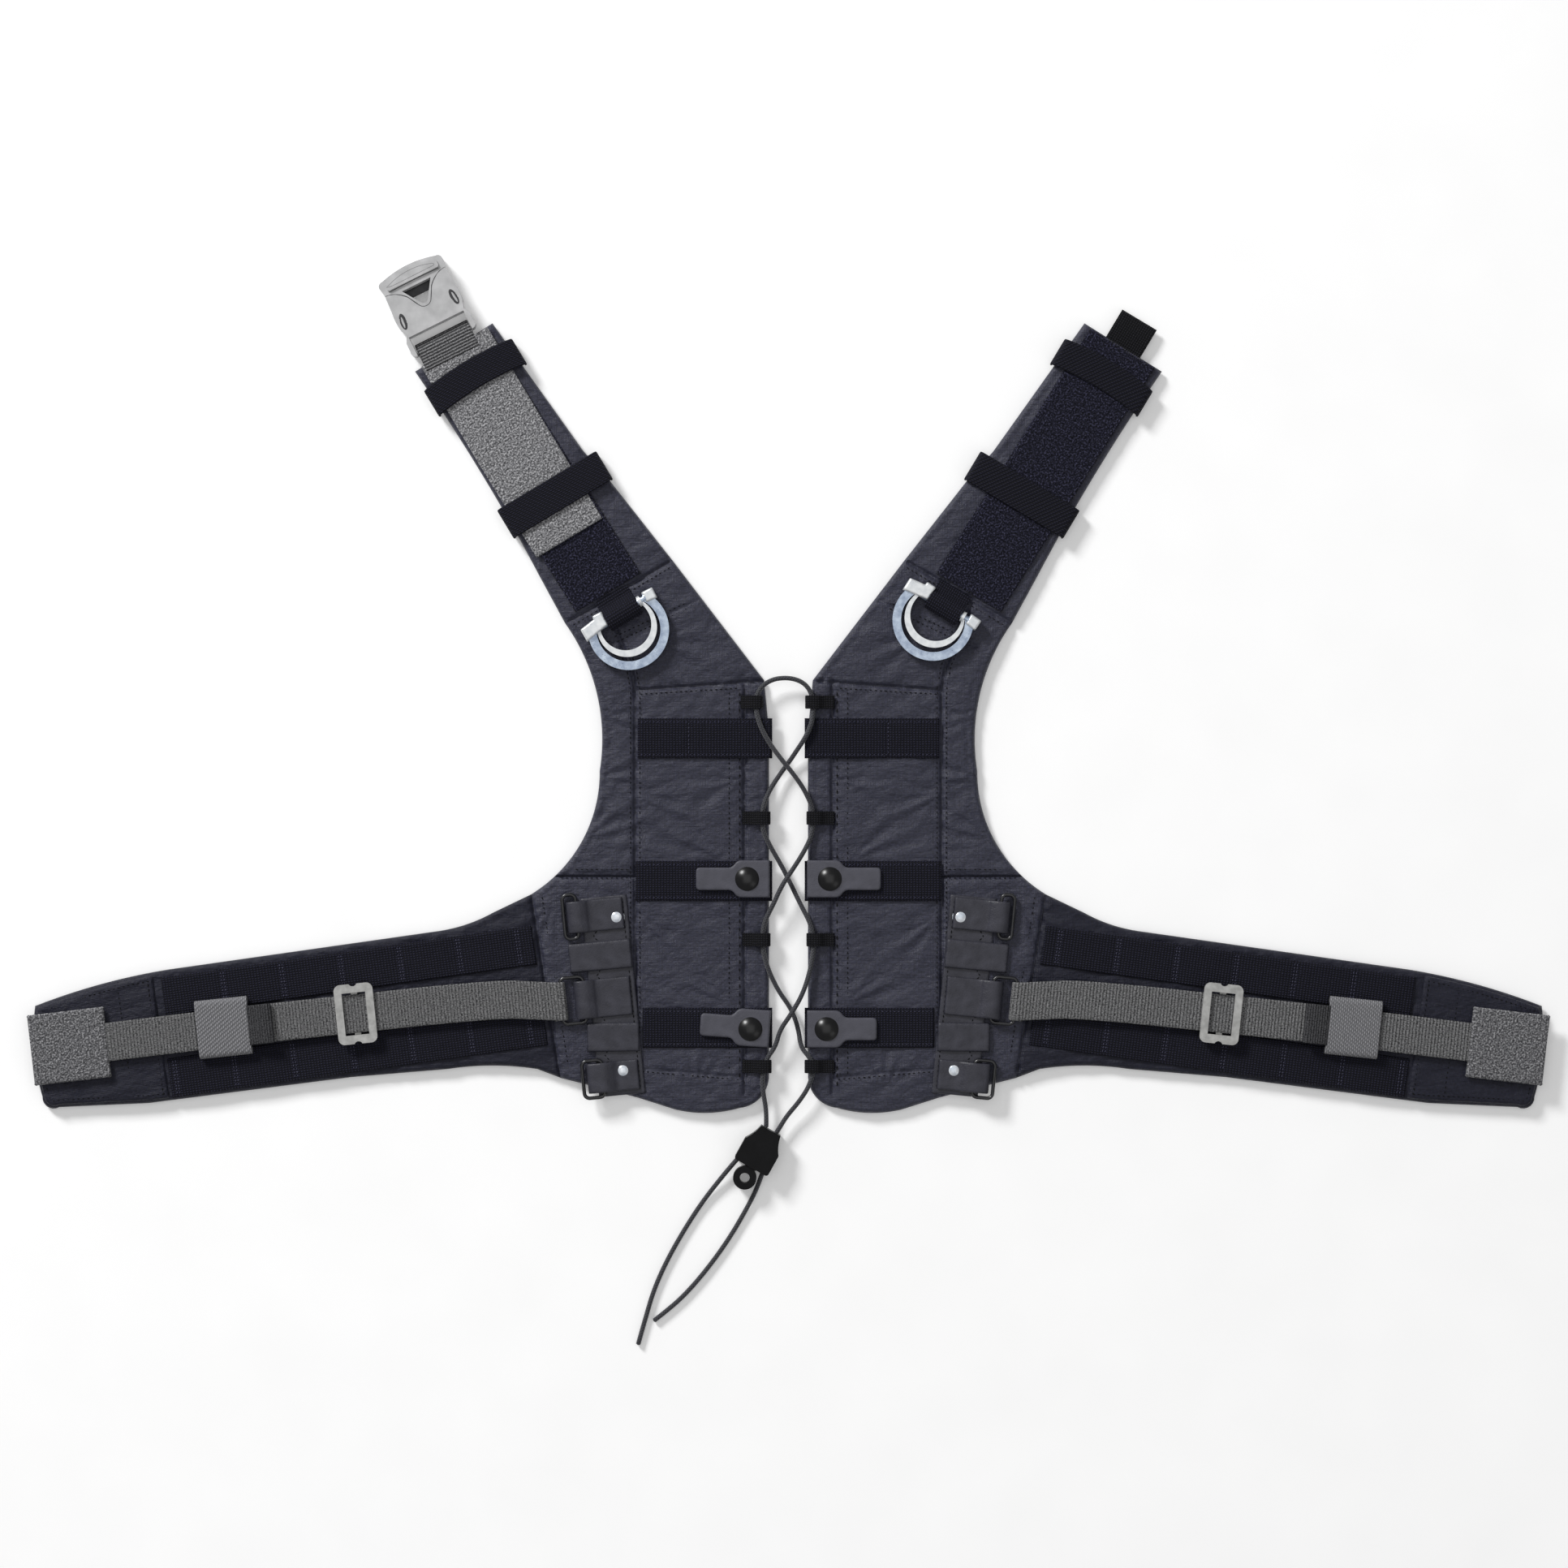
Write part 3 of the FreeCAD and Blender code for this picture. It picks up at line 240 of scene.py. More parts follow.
def ribbon(name, side, route, width, thick, material, seat=TORSO, turn=0, edge=0.8, step=1.2):
    """A strap along a route of (x, y, z) in a local frame. It keeps its width across, at a turn from local y."""
    line = smooth_line(route, step)
    across = np.array([-math.sin(math.radians(turn)), math.cos(math.radians(turn)), 0])
    normals = unit(np.cross(unit(np.gradient(line, axis=0)), across))
    run = run_along(line)
    columns = max(4, int(width / step))
    offsets = np.linspace(-width / 2, width / 2, columns + 1)
    ramp = np.array([0.12, 0.45]) * edge
    offsets = np.unique(np.concatenate([offsets, -width / 2 + ramp, width / 2 - ramp]))
    run_grid, off_grid = np.meshgrid(run, offsets, indexing="ij")
    gap = np.minimum(width / 2 - np.abs(off_grid), np.minimum(run_grid, run[-1] - run_grid))
    share = rounded(gap, edge)
    base = line[:, None, :] + offsets[None, :, None] * across
    lift = thick / 2 * share
    raised = normals[:, None, :] * lift[:, :, None]
    upper, lower = base + raised, base - raised
    rows, cols = lift.shape
    points = np.vstack([upper.reshape(-1, 3), lower.reshape(-1, 3)])
    u, v = seat_point(seat, points[:, 0], points[:, 1])
    points = np.column_stack([u, v, points[:, 2]])
    index = np.arange(rows * cols).reshape(rows, cols)
    faces = []
    for r in range(rows - 1):
        for c in range(cols - 1):
            face = (index[r, c], index[r + 1, c], index[r + 1, c + 1], index[r, c + 1])
            faces.append(tuple(int(i) for i in face))
            faces.append(tuple(int(i) + rows * cols for i in reversed(face)))
    coordinates = np.column_stack([run_grid.ravel(), off_grid.ravel()])
    piece = mesh_piece(name, side, points, faces, np.vstack([coordinates, coordinates]), material)
    weld(piece)
    return piece


def divide(line, step):
    """Straight runs divided evenly"""
    line = np.array(line, float)
    points = [line[0]]
    for start, end in zip(line, line[1:]):
        points += straight(start, end, step)
    return np.array(points)


def unit(rows):
    """Each row scaled to length 1"""
    return rows / np.maximum(np.linalg.norm(rows, axis=1), 1e-9)[:, None]


def to_left(along):
    """For each direction in the plane, the one to its left"""
    along = unit(along)
    return np.column_stack([-along[:, 1], along[:, 0]])


def run_along(line):
    """Distance from a line's start to each of its points"""
    return np.concatenate([[0], np.cumsum(np.linalg.norm(np.diff(line, axis=0), axis=1))])


def weld(piece):
    """Join the two faces of a thin piece where they meet at its edges"""
    work = bmesh.new()
    work.from_mesh(piece.data)
    bmesh.ops.remove_doubles(work, verts=work.verts, dist=1e-6)
    work.to_mesh(piece.data)
    work.free()
    piece.data.update()


def stitches(name, side, seams, height, material, seat=TORSO, pitch=3.4, length=2.2, wide=0.75):
    """Rows of single stitches along lines, laid on a surface whose height is given"""
    points, faces, coordinates = [], [], []
    for seam in seams:
        line = divide(seam, 0.5)
        run = run_along(line)
        for at in np.arange(pitch / 2, run[-1] - length, pitch):
            start = np.array([np.interp(at, run, line[:, axis]) for axis in (0, 1)])
            end = np.array([np.interp(at + length, run, line[:, axis]) for axis in (0, 1)])
            along = (end - start) / max(np.linalg.norm(end - start), 1e-6)
            side_way = np.array([-along[1], along[0]]) * wide / 2
            middle = (start + end) / 2
            plan = np.array([start, end, middle - side_way, middle + side_way, middle])
            level = height(plan) + np.array([-0.1, -0.1, 0.02, 0.02, 0.34])
            first = len(points)
            u, v = seat_point(seat, plan[:, 0], plan[:, 1])
            points += list(np.column_stack([u, v, level]))
            coordinates += list(plan)
            for face in ((0, 2, 4), (0, 4, 3), (1, 4, 2), (1, 3, 4)):
                faces.append(tuple(first + i for i in face))
    return mesh_piece(name, side, points, faces, coordinates, material)


def level_at(value):
    """A flat height for stitches"""
    return lambda plan: np.full(len(plan), float(value))


# ---------------------------------------------------------------- materials
def rgb(code):
    """A colour written as six hex digits, as linear values"""
    values = [int(code[i:i + 2], 16) / 255 for i in (0, 2, 4)]
    return tuple(v / 12.92 if v < 0.04045 else ((v + 0.055) / 1.055) ** 2.4 for v in values) + (1,)


class Finish:
    """A principled material whose nodes are added one by one"""

    def __init__(self, name, roughness, metallic=0.0, by_weave=True, sheen=0.0, coat=0.0, specular=0.5):
        self.material = bpy.data.materials.new(name)
        self.material.use_nodes = True
        self.tree = self.material.node_tree
        self.shader = self.tree.nodes["Principled BSDF"]
        levels = {"Roughness": roughness, "Metallic": metallic, "Sheen Weight": sheen, "Coat Weight": coat,
                  "Specular IOR Level": specular}
        for socket, level in levels.items():
            self.shader.inputs[socket].default_value = level
        if by_weave:
            source = self.add("ShaderNodeUVMap")
            source.uv_map = "weave"
            self.place = source.outputs["UV"]
        else:
            source = self.add("ShaderNodeTexCoord")
            scale = self.add("ShaderNodeMapping")
            scale.inputs["Scale"].default_value = (100, 100, 100)
            self.link(source.outputs["Object"], scale.inputs["Vector"])
            self.place = scale.outputs["Vector"]
        self.bump = None
        self.colour = None

    def add(self, kind):
        """A new node of a kind"""
        return self.tree.nodes.new(kind)

    def link(self, source, target):
        """Join a node's output to an input"""
        self.tree.links.new(source, target)

    def stretched(self, stretch, turn=0):
        """The place, scaled and turned, for grain that runs one way"""
        if stretch == (1, 1) and turn == 0:
            return self.place
        mapping = self.add("ShaderNodeMapping")
        mapping.inputs["Scale"].default_value = (stretch[0], stretch[1], 1)
        mapping.inputs["Rotation"].default_value = (0, 0, math.radians(turn))
        self.link(self.place, mapping.inputs["Vector"])
        return mapping.outputs["Vector"]

    def grain(self, size, detail=3.0, stretch=(1, 1), turn=0):
        """Noise with features of a size in millimetres"""
        node = self.add("ShaderNodeTexNoise")
        node.inputs["Scale"].default_value = 10 / size
        node.inputs["Detail"].default_value = detail
        self.link(self.stretched(stretch, turn), node.inputs["Vector"])
        return node.outputs["Fac"]

    def cells(self, size):
        """Cells of a size in millimetres"""
        node = self.add("ShaderNodeTexVoronoi")
        node.inputs["Scale"].default_value = 10 / size
        self.link(self.place, node.inputs["Vector"])
        return node.outputs["Distance"]

    def ribs(self, pitch, direction="X", wobble=0.6, turn=0):
        """Even ribs of a pitch in millimetres"""
        node = self.add("ShaderNodeTexWave")
        node.bands_direction = direction
        node.inputs["Scale"].default_value = math.pi / pitch
        node.inputs["Distortion"].default_value = wobble
        node.inputs["Detail Scale"].default_value = 1.5
        self.link(self.stretched((1, 1), turn), node.inputs["Vector"])
        return node.outputs["Fac"]

    def combined(self, first, second, how="MULTIPLY"):
        """Two values, multiplied unless told otherwise"""
        node = self.add("ShaderNodeMath")
        node.operation = how
        for value, socket in zip((first, second), node.inputs):
            if isinstance(value, (int, float)):
                socket.default_value = value
            else:
                self.link(value, socket)
        return node.outputs[0]

    def ramp(self, value, stops):
        """Colours along a value: (position, hex code)"""
        node = self.add("ShaderNodeValToRGB")
        elements = node.color_ramp.elements
        while len(elements) < len(stops):
            elements.new(0.5)
        for element, (position, code) in zip(elements, stops):
            element.position = position
            element.color = rgb(code)
        self.link(value, node.inputs["Fac"])
        return node.outputs["Color"]

    def over(self, value, colour, share=1.0):
        """Lay a colour over the last one where a value is high"""
        node = self.add("ShaderNodeMix")
        node.data_type = "RGBA"
        self.link(self.combined(value, share), node.inputs["Factor"])
        self.link(self.colour, node.inputs["A"])
        node.inputs["B"].default_value = rgb(colour)
        self.colour = node.outputs["Result"]

    def raised(self, value, height, strength=1.0):
        """Add relief of a height in millimetres"""
        node = self.add("ShaderNodeBump")
        node.inputs["Distance"].default_value = height * MM
        node.inputs["Strength"].default_value = strength
        self.link(value, node.inputs["Height"])
        if self.bump is not None:
            self.link(self.bump, node.inputs["Normal"])
        self.bump = node.outputs["Normal"]

    def rough(self, value, low, high):
        """Roughness between two values"""
        node = self.add("ShaderNodeMapRange")
        node.inputs["To Min"].default_value = low
        node.inputs["To Max"].default_value = high
        self.link(value, node.inputs["Value"])
        self.link(node.outputs["Result"], self.shader.inputs["Roughness"])

    def done(self):
        """The material, with its colour and relief joined to the shader"""
        self.link(self.colour, self.shader.inputs["Base Color"])
        if self.bump is not None:
            self.link(self.bump, self.shader.inputs["Normal"])
        return self.material


def woven(name, dark, light, crazed, specular=0.5):
    """Tightly woven nylon with a fine crazing of creases and faded high spots"""
    cloth = Finish(name, 0.55, sheen=0.05, specular=specular)
    cloth.colour = cloth.ramp(cloth.grain(1.7, 5), [(0.25, dark), (0.75, light)])
    cloth.raised(cloth.grain(8, 8, stretch=(0.5, 1), turn=32), 5.0 * crazed, 0.55)
    cloth.raised(cloth.grain(2.2, 6, stretch=(0.6, 1)), 1.3 * crazed, 0.7)
    weave = cloth.combined(cloth.ribs(1.1, "X"), cloth.ribs(1.1, "Y"), "MAXIMUM")
    cloth.raised(weave, 0.2, 0.7)
    cloth.rough(cloth.grain(9, 4), 0.4, 0.68)
    return cloth.done()


def webbing(name, dark, light, pitch=1.9, flecks=0.5):
    """Webbing with ribs across it and lighter threads between them"""
    cloth = Finish(name, 0.8, specular=0.25)
    ribs = cloth.ribs(pitch, "X", 1.4)
    threads = cloth.ribs(1.5, "Y", 2.2)
    mesh = cloth.combined(ribs, threads)
    cloth.colour = cloth.ramp(mesh, [(0.12, dark), (0.8, light)])
    cloth.over(cloth.combined(cloth.grain(1.1, 3), mesh), light, flecks)
    cloth.raised(mesh, 0.9, 0.9)
    cloth.raised(cloth.grain(1.4, 3), 0.5, 0.7)
    return cloth.done()


def twilled(name, dark, light):
    """Elastic with a twill: slanting ribs broken by fine threads"""
    cloth = Finish(name, 0.8, specular=0.25)
    slant = cloth.ribs(2.1, "X", 1.0, turn=35)
    threads = cloth.ribs(1.3, "Y", 1.6)
    mesh = cloth.combined(slant, threads)
    cloth.colour = cloth.ramp(mesh, [(0.1, dark), (0.85, light)])
    cloth.raised(mesh, 0.8, 0.9)
    cloth.raised(cloth.grain(1.3, 3), 0.4, 0.6)
    return cloth.done()


def looped(name, dark, middle, light):
    """Brushed loop fabric: short fuzz in uneven tufts"""
    cloth = Finish(name, 0.95, sheen=0.1, specular=0.15)
    tufts = cloth.grain(1.15, 6)
    cloth.colour = cloth.ramp(tufts, [(0.36, dark), (0.5, middle), (0.64, light)])
    cloth.over(cloth.grain(15, 4), middle, 0.3)
    cloth.raised(cloth.cells(1.1), 0.9, 0.8)
    cloth.raised(cloth.grain(3.2, 5), 2.2, 0.8)
    return cloth.done()


def melange(name, dark, light, pitch=2.1, ribbed=0.0):
    """Webbing of light and dark threads with strong ribs, and shade painted near-black in the grooves between the
    ribs
    """
    cloth = Finish(name, 0.85, specular=0.25)
    ribs = cloth.ribs(pitch, "X", 1.2)
    speckle = cloth.grain(1.15, 4, stretch=(1, 1.6))
    cloth.colour = cloth.ramp(speckle, [(0.38, dark), (0.6, light)])
    cloth.over(cloth.combined(ribs, cloth.ribs(1.8, "Y", 1.6)), light, 0.45)
    # Painted shade: near-black laid where the ribs are low, in the grooves between them, by the share ribbed
    cloth.over(cloth.combined(1.0, ribs, "SUBTRACT"), "161618", ribbed)
    cloth.raised(ribs, 1.0, 0.9)
    cloth.raised(speckle, 0.7, 0.8)
    return cloth.done()


def hide(name, dark, light):
    """Coated leather with a pebbled grain and soft folds"""
    skin = Finish(name, 0.5, specular=0.45)
    skin.colour = skin.ramp(skin.grain(9, 4), [(0.32, dark), (0.7, light)])
    skin.raised(skin.cells(0.8), 0.16, 0.6)
    skin.raised(skin.grain(5, 4), 0.8, 0.4)
    skin.rough(skin.grain(6, 3), 0.38, 0.6)
    return skin.done()


def metal(name, dark, light, roughness, metallic=1.0):
    """Metal with faint scuffs and an uneven polish"""
    bright = Finish(name, roughness, metallic=metallic, by_weave=False)
    bright.colour = bright.ramp(bright.grain(4, 4), [(0.3, dark), (0.75, light)])
    bright.raised(bright.grain(0.6, 3, stretch=(1, 6)), 0.02, 0.5)
    bright.rough(bright.grain(1.4, 5), roughness * 0.75, roughness * 1.35)
    return bright.done()


def moulded(name, dark, light, roughness, coat=0.0, grain=0.05, specular=0.5):
    """Moulded plastic or paint with a fine texture"""
    shell = Finish(name, roughness, by_weave=False, coat=coat, specular=specular)
    shell.colour = shell.ramp(shell.grain(8, 4), [(0.3, dark), (0.7, light)])
    shell.raised(shell.grain(0.45, 2), grain, 0.5)
    shell.rough(shell.grain(2.2, 4), roughness * 0.8, roughness * 1.25)
    return shell.done()


def braided(name, dark, light):
    """A braided sheath: two sets of threads that cross round the cord"""
    sheath = Finish(name, 0.6, sheen=0.3, specular=0.45)
    one = sheath.ribs(0.95, "DIAGONAL", 0.3)
    other = sheath.ribs(0.95, "DIAGONAL", 0.3, turn=90)
    braid = sheath.combined(one, other, "MAXIMUM")
    sheath.colour = sheath.ramp(braid, [(0.25, dark), (0.95, light)])
    sheath.over(sheath.grain(1.2, 3), dark, 0.35)
    sheath.raised(braid, 0.3, 0.8)
    return sheath.done()


FABRIC = woven("charcoal_fabric_cloth", "1a1b28", "323347", 0.8)
BELT_FABRIC = woven("navy_fabric_cloth", "0f101c", "1e1f30", 0.8, specular=0.28)
NAVY_WEB = webbing("navy_webbing_cloth", "070711", "26263a")
NAVY_LOOP = looped("navy_loop_cloth", "06060e", "131321", "3e3e54")
BLACK_TAPE = webbing("black_tape_cloth", "060609", "1e1e27", pitch=1.6, flecks=0.3)
ELASTIC = twilled("navy_elastic_cloth", "080811", "232336")
GREY_ELASTIC = twilled("grey_elastic_cloth", "6d6d70", "ababaf")
GREY_WEB = melange("grey_webbing_cloth", "4c4c4e", "a0a0a2", pitch=1.9, ribbed=0.85)
BELT_GREY = melange("belt_webbing_cloth", "323234", "858586")
FOLD_GREY = melange("folded_webbing_cloth", "222225", "57575a", pitch=1.6, ribbed=0.3)
GREY_LOOP = looped("grey_loop_cloth", "404043", "7f7f82", "c2c2c4")
PATCH_LOOP = looped("belt_patch_cloth", "333336", "666669", "a4a4a6")
LEATHER = hide("leather_hide", "26262f", "363640")
TAB_LEATHER = hide("tab_leather_hide", "43434c", "4d4d57")
RING_STEEL = metal("ring_steel_bright", "8f9db4", "c9d6e6", 0.28, 0.6)
RING_PALE = metal("ring_steel_pale", "d4d8dc", "f2f4f5", 0.3, 0.4)
BLACK_WIRE = moulded("black_wire_coat", "0a0a0d", "1d1d22", 0.28, coat=0.2, grain=0.02)
CHROME = metal("rivet_chrome_bright", "c9d2de", "f6f8fb", 0.24, 0.3)
SNAP = moulded("snap_black_gloss", "040406", "08080b", 0.3, grain=0.01)
ALUMINIUM = metal("adjuster_aluminium_dull", "9a9a98", "bdbdbb", 0.42, 0.5)
BUCKLE_GREY = moulded("buckle_grey_plastic", "adadae", "c5c5c6", 0.42, grain=0.12)
# Painted shade: a dark finish for the sheets and lines laid where the buckle's windows, seam, slot and rib fall in
# shade
PAINTED_SHADE = moulded("buckle_window_shade", "2c2c2e", "3d3d40", 0.6)
LOCK_BLACK = moulded("lock_black_plastic", "020203", "08080b", 0.4, specular=0.16)
SPRING = metal("spring_steel_wire", "8f9296", "c2c6ca", 0.25)
CORD = braided("shock_cord_sheath", "08080a", "3c3d45")
THREAD = webbing("seam_thread_pale", "45455a", "7c7c92", pitch=0.5)
DARK_THREAD = webbing("seam_thread_dark", "020203", "09090f", pitch=0.5)


# ---------------------------------------------------------------- outlines, in millimetres
TORSO_START = [(15.6, 2.9), (12.5, -29.4), (12.5, -250.4), (16.6, -263.4, 31.2, -271.7),
               (49.4, -274.8, 72.8, -272.7), (97.2, -264.9), (146.1, -252.5)]
ARMHOLE = [(165.1, -134.4), (135.2, -104.8, 121.2, -55.4), (122.5, -8, 143.3, 39.3)]
SHOULDER_EDGE = [(40, 0.75), (38.5, 34.9), (36.7, 83, 37.5, 155.7), (39.3, 189), (-19.3, 190),
                 (-22.4, 150, -27.1, 89.6), (-31.9, 64.2), (-40, -0.45)]
BELT_EDGE = [(1.25, 59.7), (27.4, 51.4), (45, 46.4, 65.1, 44.6), (238.5, 44.3), (283, 41, 326.7, 33),
             (331.6, 3, 330.2, -25.3), (328.5, -31.6, 320.3, -33.5), (263.3, -38.9), (132.2, -40.5),
             (69.7, -44), (38, -46.3, 13.1, -52), (-0.95, -59.7)]
COVER_SPLIT = -123


def seated(line, seat):
    """A line of local points in a half's own coordinates"""
    line = np.asarray(line, float)
    return np.column_stack(seat_point(seat, line[:, 0], line[:, 1]))


def half_outline():
    """Torso, belt wing and shoulder strap of one half as one closed line"""
    belt, shoulder_strap = trace(BELT_EDGE, closed=False), trace(SHOULDER_EDGE, closed=False)
    return np.vstack([trace(TORSO_START, closed=False), seated(belt[::-1], BELT),
                      trace(ARMHOLE, closed=False)[1:], seated(shoulder_strap, SHOULDER)[1:]])


def clipped(line, level, above):
    """The part of a closed line above or below a level, with points along the cut"""
    sign = 1 if above else -1
    kept = []
    for start, end in zip(line, np.roll(line, -1, axis=0)):
        start_in = sign * (start[1] - level) >= 0
        end_in = sign * (end[1] - level) >= 0
        if start_in:
            kept.append(start)
        if start_in != end_in:
            share = (level - start[1]) / (end[1] - start[1])
            kept.append(start + (end - start) * share)
    return divide(kept + kept[:1], 3)[:-1]


# ---------------------------------------------------------------- seams and relief of the cloth
PLACKET_SEAM = [(28.1, 1.5), (28.1, -262)]
SIDE_SEAM = [(98.3, -264), (98.3, -3.4), (101, 12), (106.5, 25), (118, 54)]
YOKE_SEAM = [(15.6, 2.3), (97.2, -3.4)]
ARMHOLE_SEAM = [(98.3, -120.6), (150, -120.6)]
HEM_SEAM = [(29.6, -251.9), (97.8, -246.2)]
CHEST_SEAM = seated([(-41, -30.6), (-34, -30), (20, -24.6), (36, -23)], SHOULDER)


def beside(line, gap):
    """A line run parallel to another at a gap to its left"""
    line = np.array(line, float)
    return line + gap * to_left(np.gradient(line, axis=0))


TORSO_SEAMS = [divide(seam, 2) for seam in (PLACKET_SEAM, SIDE_SEAM, YOKE_SEAM)]
FINE_SEAMS = [divide(seam, 2) for seam in (ARMHOLE_SEAM, HEM_SEAM, CHEST_SEAM)]


def creases(points, seed, turn=38, across=11, along=60):
    """Long soft folds that run one way, from -1 to 1"""
    angle = math.radians(turn)
    cos, sin = math.cos(angle), math.sin(angle)
    u, v = points[:, 0], points[:, 1]
    turned = np.column_stack([(u * cos + v * sin) * across / along, -u * sin + v * cos])
    return 1 - 2 * np.abs(rolls(turned, across, seed, 2))


# Places where the cloth is pulled: (x, y, direction, spread, reach, folds)
PULLS = [
    (135, -100, 160, 34, 42, 17), (124, -60, 175, 40, 34, 13), (122, -20, 185, 40, 30, 13),
    (40, -112, 25, 30, 46, 14), (30, -60, -20, 26, 40, 12), (98, -70, 200, 26, 40, 13),
    (36, -205, 25, 26, 44, 14), (95, -150, 215, 30, 40, 12), (60, -262, 90, 50, 26, 16),
    (85, 30, 200, 40, 34, 12), (150, -140, -60, 40, 36, 14), (175, -235, 120, 36, 34, 12),
]


def pulls(points):
    """Folds that fan out from the places where the cloth is pulled"""
    height = np.zeros(len(points))
    for x, y, heading, spread, reach, folds in PULLS:
        across = points - (x, y)
        distance = np.hypot(across[:, 0], across[:, 1])
        angle = np.degrees(np.arctan2(across[:, 1], across[:, 0])) - heading
        angle = (angle + 180) % 360 - 180
        fade = np.exp(-(angle / spread) ** 2) * np.exp(-(distance / reach) ** 2) * np.clip(distance / 8, 0, 1)
        height += fade * np.sin(np.radians(angle) * folds + 0.7)
    return height


def cloth_relief(seed, seams):
    """Relief of a padded panel: rolls, folds, and seams that pull in with small puckers beside them"""
    def relief(points):
        height = 0.6 * rolls(points, 36, seed) + 0.18 * rolls(points, 9, seed + 5)
        height += 0.5 * creases(points, seed + 1, turn=28, across=13, along=85) - 0.35
        height += 0.28 * creases(points, seed + 2, turn=-50, across=8, along=40)
        height += pulls(points)
        for line in seams:
            gap = distance_to_line(points, line)
            height += -1.9 * np.exp(-(gap / 0.9) ** 2) - 0.7 * np.exp(-gap / 3.5)
            height += 0.9 * rolls(points, 4.5, seed + 3) * np.exp(-gap / 6)
        for line in FINE_SEAMS:
            gap = distance_to_line(points, line)
            height += -0.8 * np.exp(-(gap / 1.2) ** 2)
            height += 0.6 * rolls(points, 4.5, seed + 3) * np.exp(-gap / 5)
        gap = distance_to_line(points, WHOLE, closed=True)
        height += -0.6 * np.exp(-((gap - 5) / 1.2) ** 2)
        height += 0.5 * rolls(points, 5, seed + 4) * np.exp(-gap / 7)
        return np.clip(height, -3.2, 0.9)
    return relief


def unevenness(size, height, fine, fine_height, seed):
    """Relief with soft bumps of two sizes"""
    return lambda points: height * rolls(points, size, seed) + fine_height * rolls(points, fine, seed + 1)


def ride_on(piece, body, nodes):
    """A piece that rides on a body and stands for CAD nodes"""
    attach(piece, body)
    if nodes:
        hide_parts(*nodes)
    return piece


# ---------------------------------------------------------------- padded covers
WHOLE = half_outline()
UPPER_EDGE = clipped(WHOLE, COVER_SPLIT, True)
LOWER_EDGE = clipped(WHOLE, COVER_SPLIT, False)
SHOULDER_JOIN = divide(seated([(-38, 0), (40, 0.7)], SHOULDER), 2)
BELT_JOIN = divide(seated([(-0.9, -59), (1.2, 59)], BELT), 2)


def covers(half, side, seed):
    """The padded cloth of one half, in two pieces that meet under the middle webbing row"""
    upper = cover(f"{half}_upper_cover", side, UPPER_EDGE, SHOULDER_JOIN, (0, 2), seed)
    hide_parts(f"{half}_torso_pad", f"{half}_torso_panels", f"{half}_shoulder_pad")
    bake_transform(upper)
    lower = cover(f"{half}_lower_cover", side, LOWER_EDGE, BELT_JOIN, (1,), seed + 9)
    lower.data.materials.append(BELT_FABRIC)
    foot, head = BELT_JOIN[0], BELT_JOIN[-1]
    for face in lower.data.polygons:
        u, v = abs(face.center.x) / MM, face.center.y / MM
        share = (v - foot[1]) / (head[1] - foot[1])
        if u > foot[0] + share * (head[0] - foot[0]) and v < COVER_SPLIT - 5:
            face.material_index = 1
    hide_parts(f"{half}_belt_pad")
    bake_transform(lower)


def cover(name, side, edge_line, join, fine, seed):
    """One padded cover, with its seams and the join to a limb pressed in"""
    seams = TORSO_SEAMS + [join]
    return panel(name, side, edge_line, 0, CLOTH_TOP, FABRIC, step=2.0, relief=cloth_relief(seed, seams),
                 seams=seams + [FINE_SEAMS[index] for index in fine], edge=3)


def seam_threads(half, side):
    """Rows of stitches beside the seams of one half"""
    level = level_at(CLOTH_TOP + 0.15)
    piece = stitches(f"{half}_placket_stitches", side, [[(31.2, -2), (31.2, -262)]], level, DARK_THREAD, pitch=5.2,
                     length=3.4, wide=1.0)
    ride_on(piece, f"{half}_torso", ())
    side_line = divide(SIDE_SEAM[:-1], 4)
    fine = [[(38, -3), (38, -252)], beside(side_line, -3), beside(side_line, 3), [(97, -6.2), (30, -2.2)],
            [(101, -124), (147, -124)], [(101, -118.5), (139, -118.5)], [(30, -253.4), (97, -247.8)],
            seated([(-7, -52), (-5.5, 58)], BELT), seated([(-38, -3.4), (38, -3)], SHOULDER)]
    fine += [beside(divide(CHEST_SEAM[:3], 4)[1:], gap) for gap in (-1.8, 1.8)]
    piece = stitches(f"{half}_seam_stitches", side, fine, level, DARK_THREAD, pitch=3.2, length=2.1, wide=0.8)
    ride_on(piece, f"{half}_torso", ())


# ---------------------------------------------------------------- webbing rows
CHEST_ROWS = [(10.4, 96.7, -34.4), (10.4, 98, -125.9), (10.4, 93.6, -220)]
BELT_ROWS = [(4, 244, 27.2), (4, 247, -24.8)]
STITCH_PITCH = 38.1


def box_line(low_x, high_x, low_y, high_y):
    """The corners of a rectangle"""
    return [(high_x, low_y), (high_x, high_y), (low_x, high_y), (low_x, low_y)]


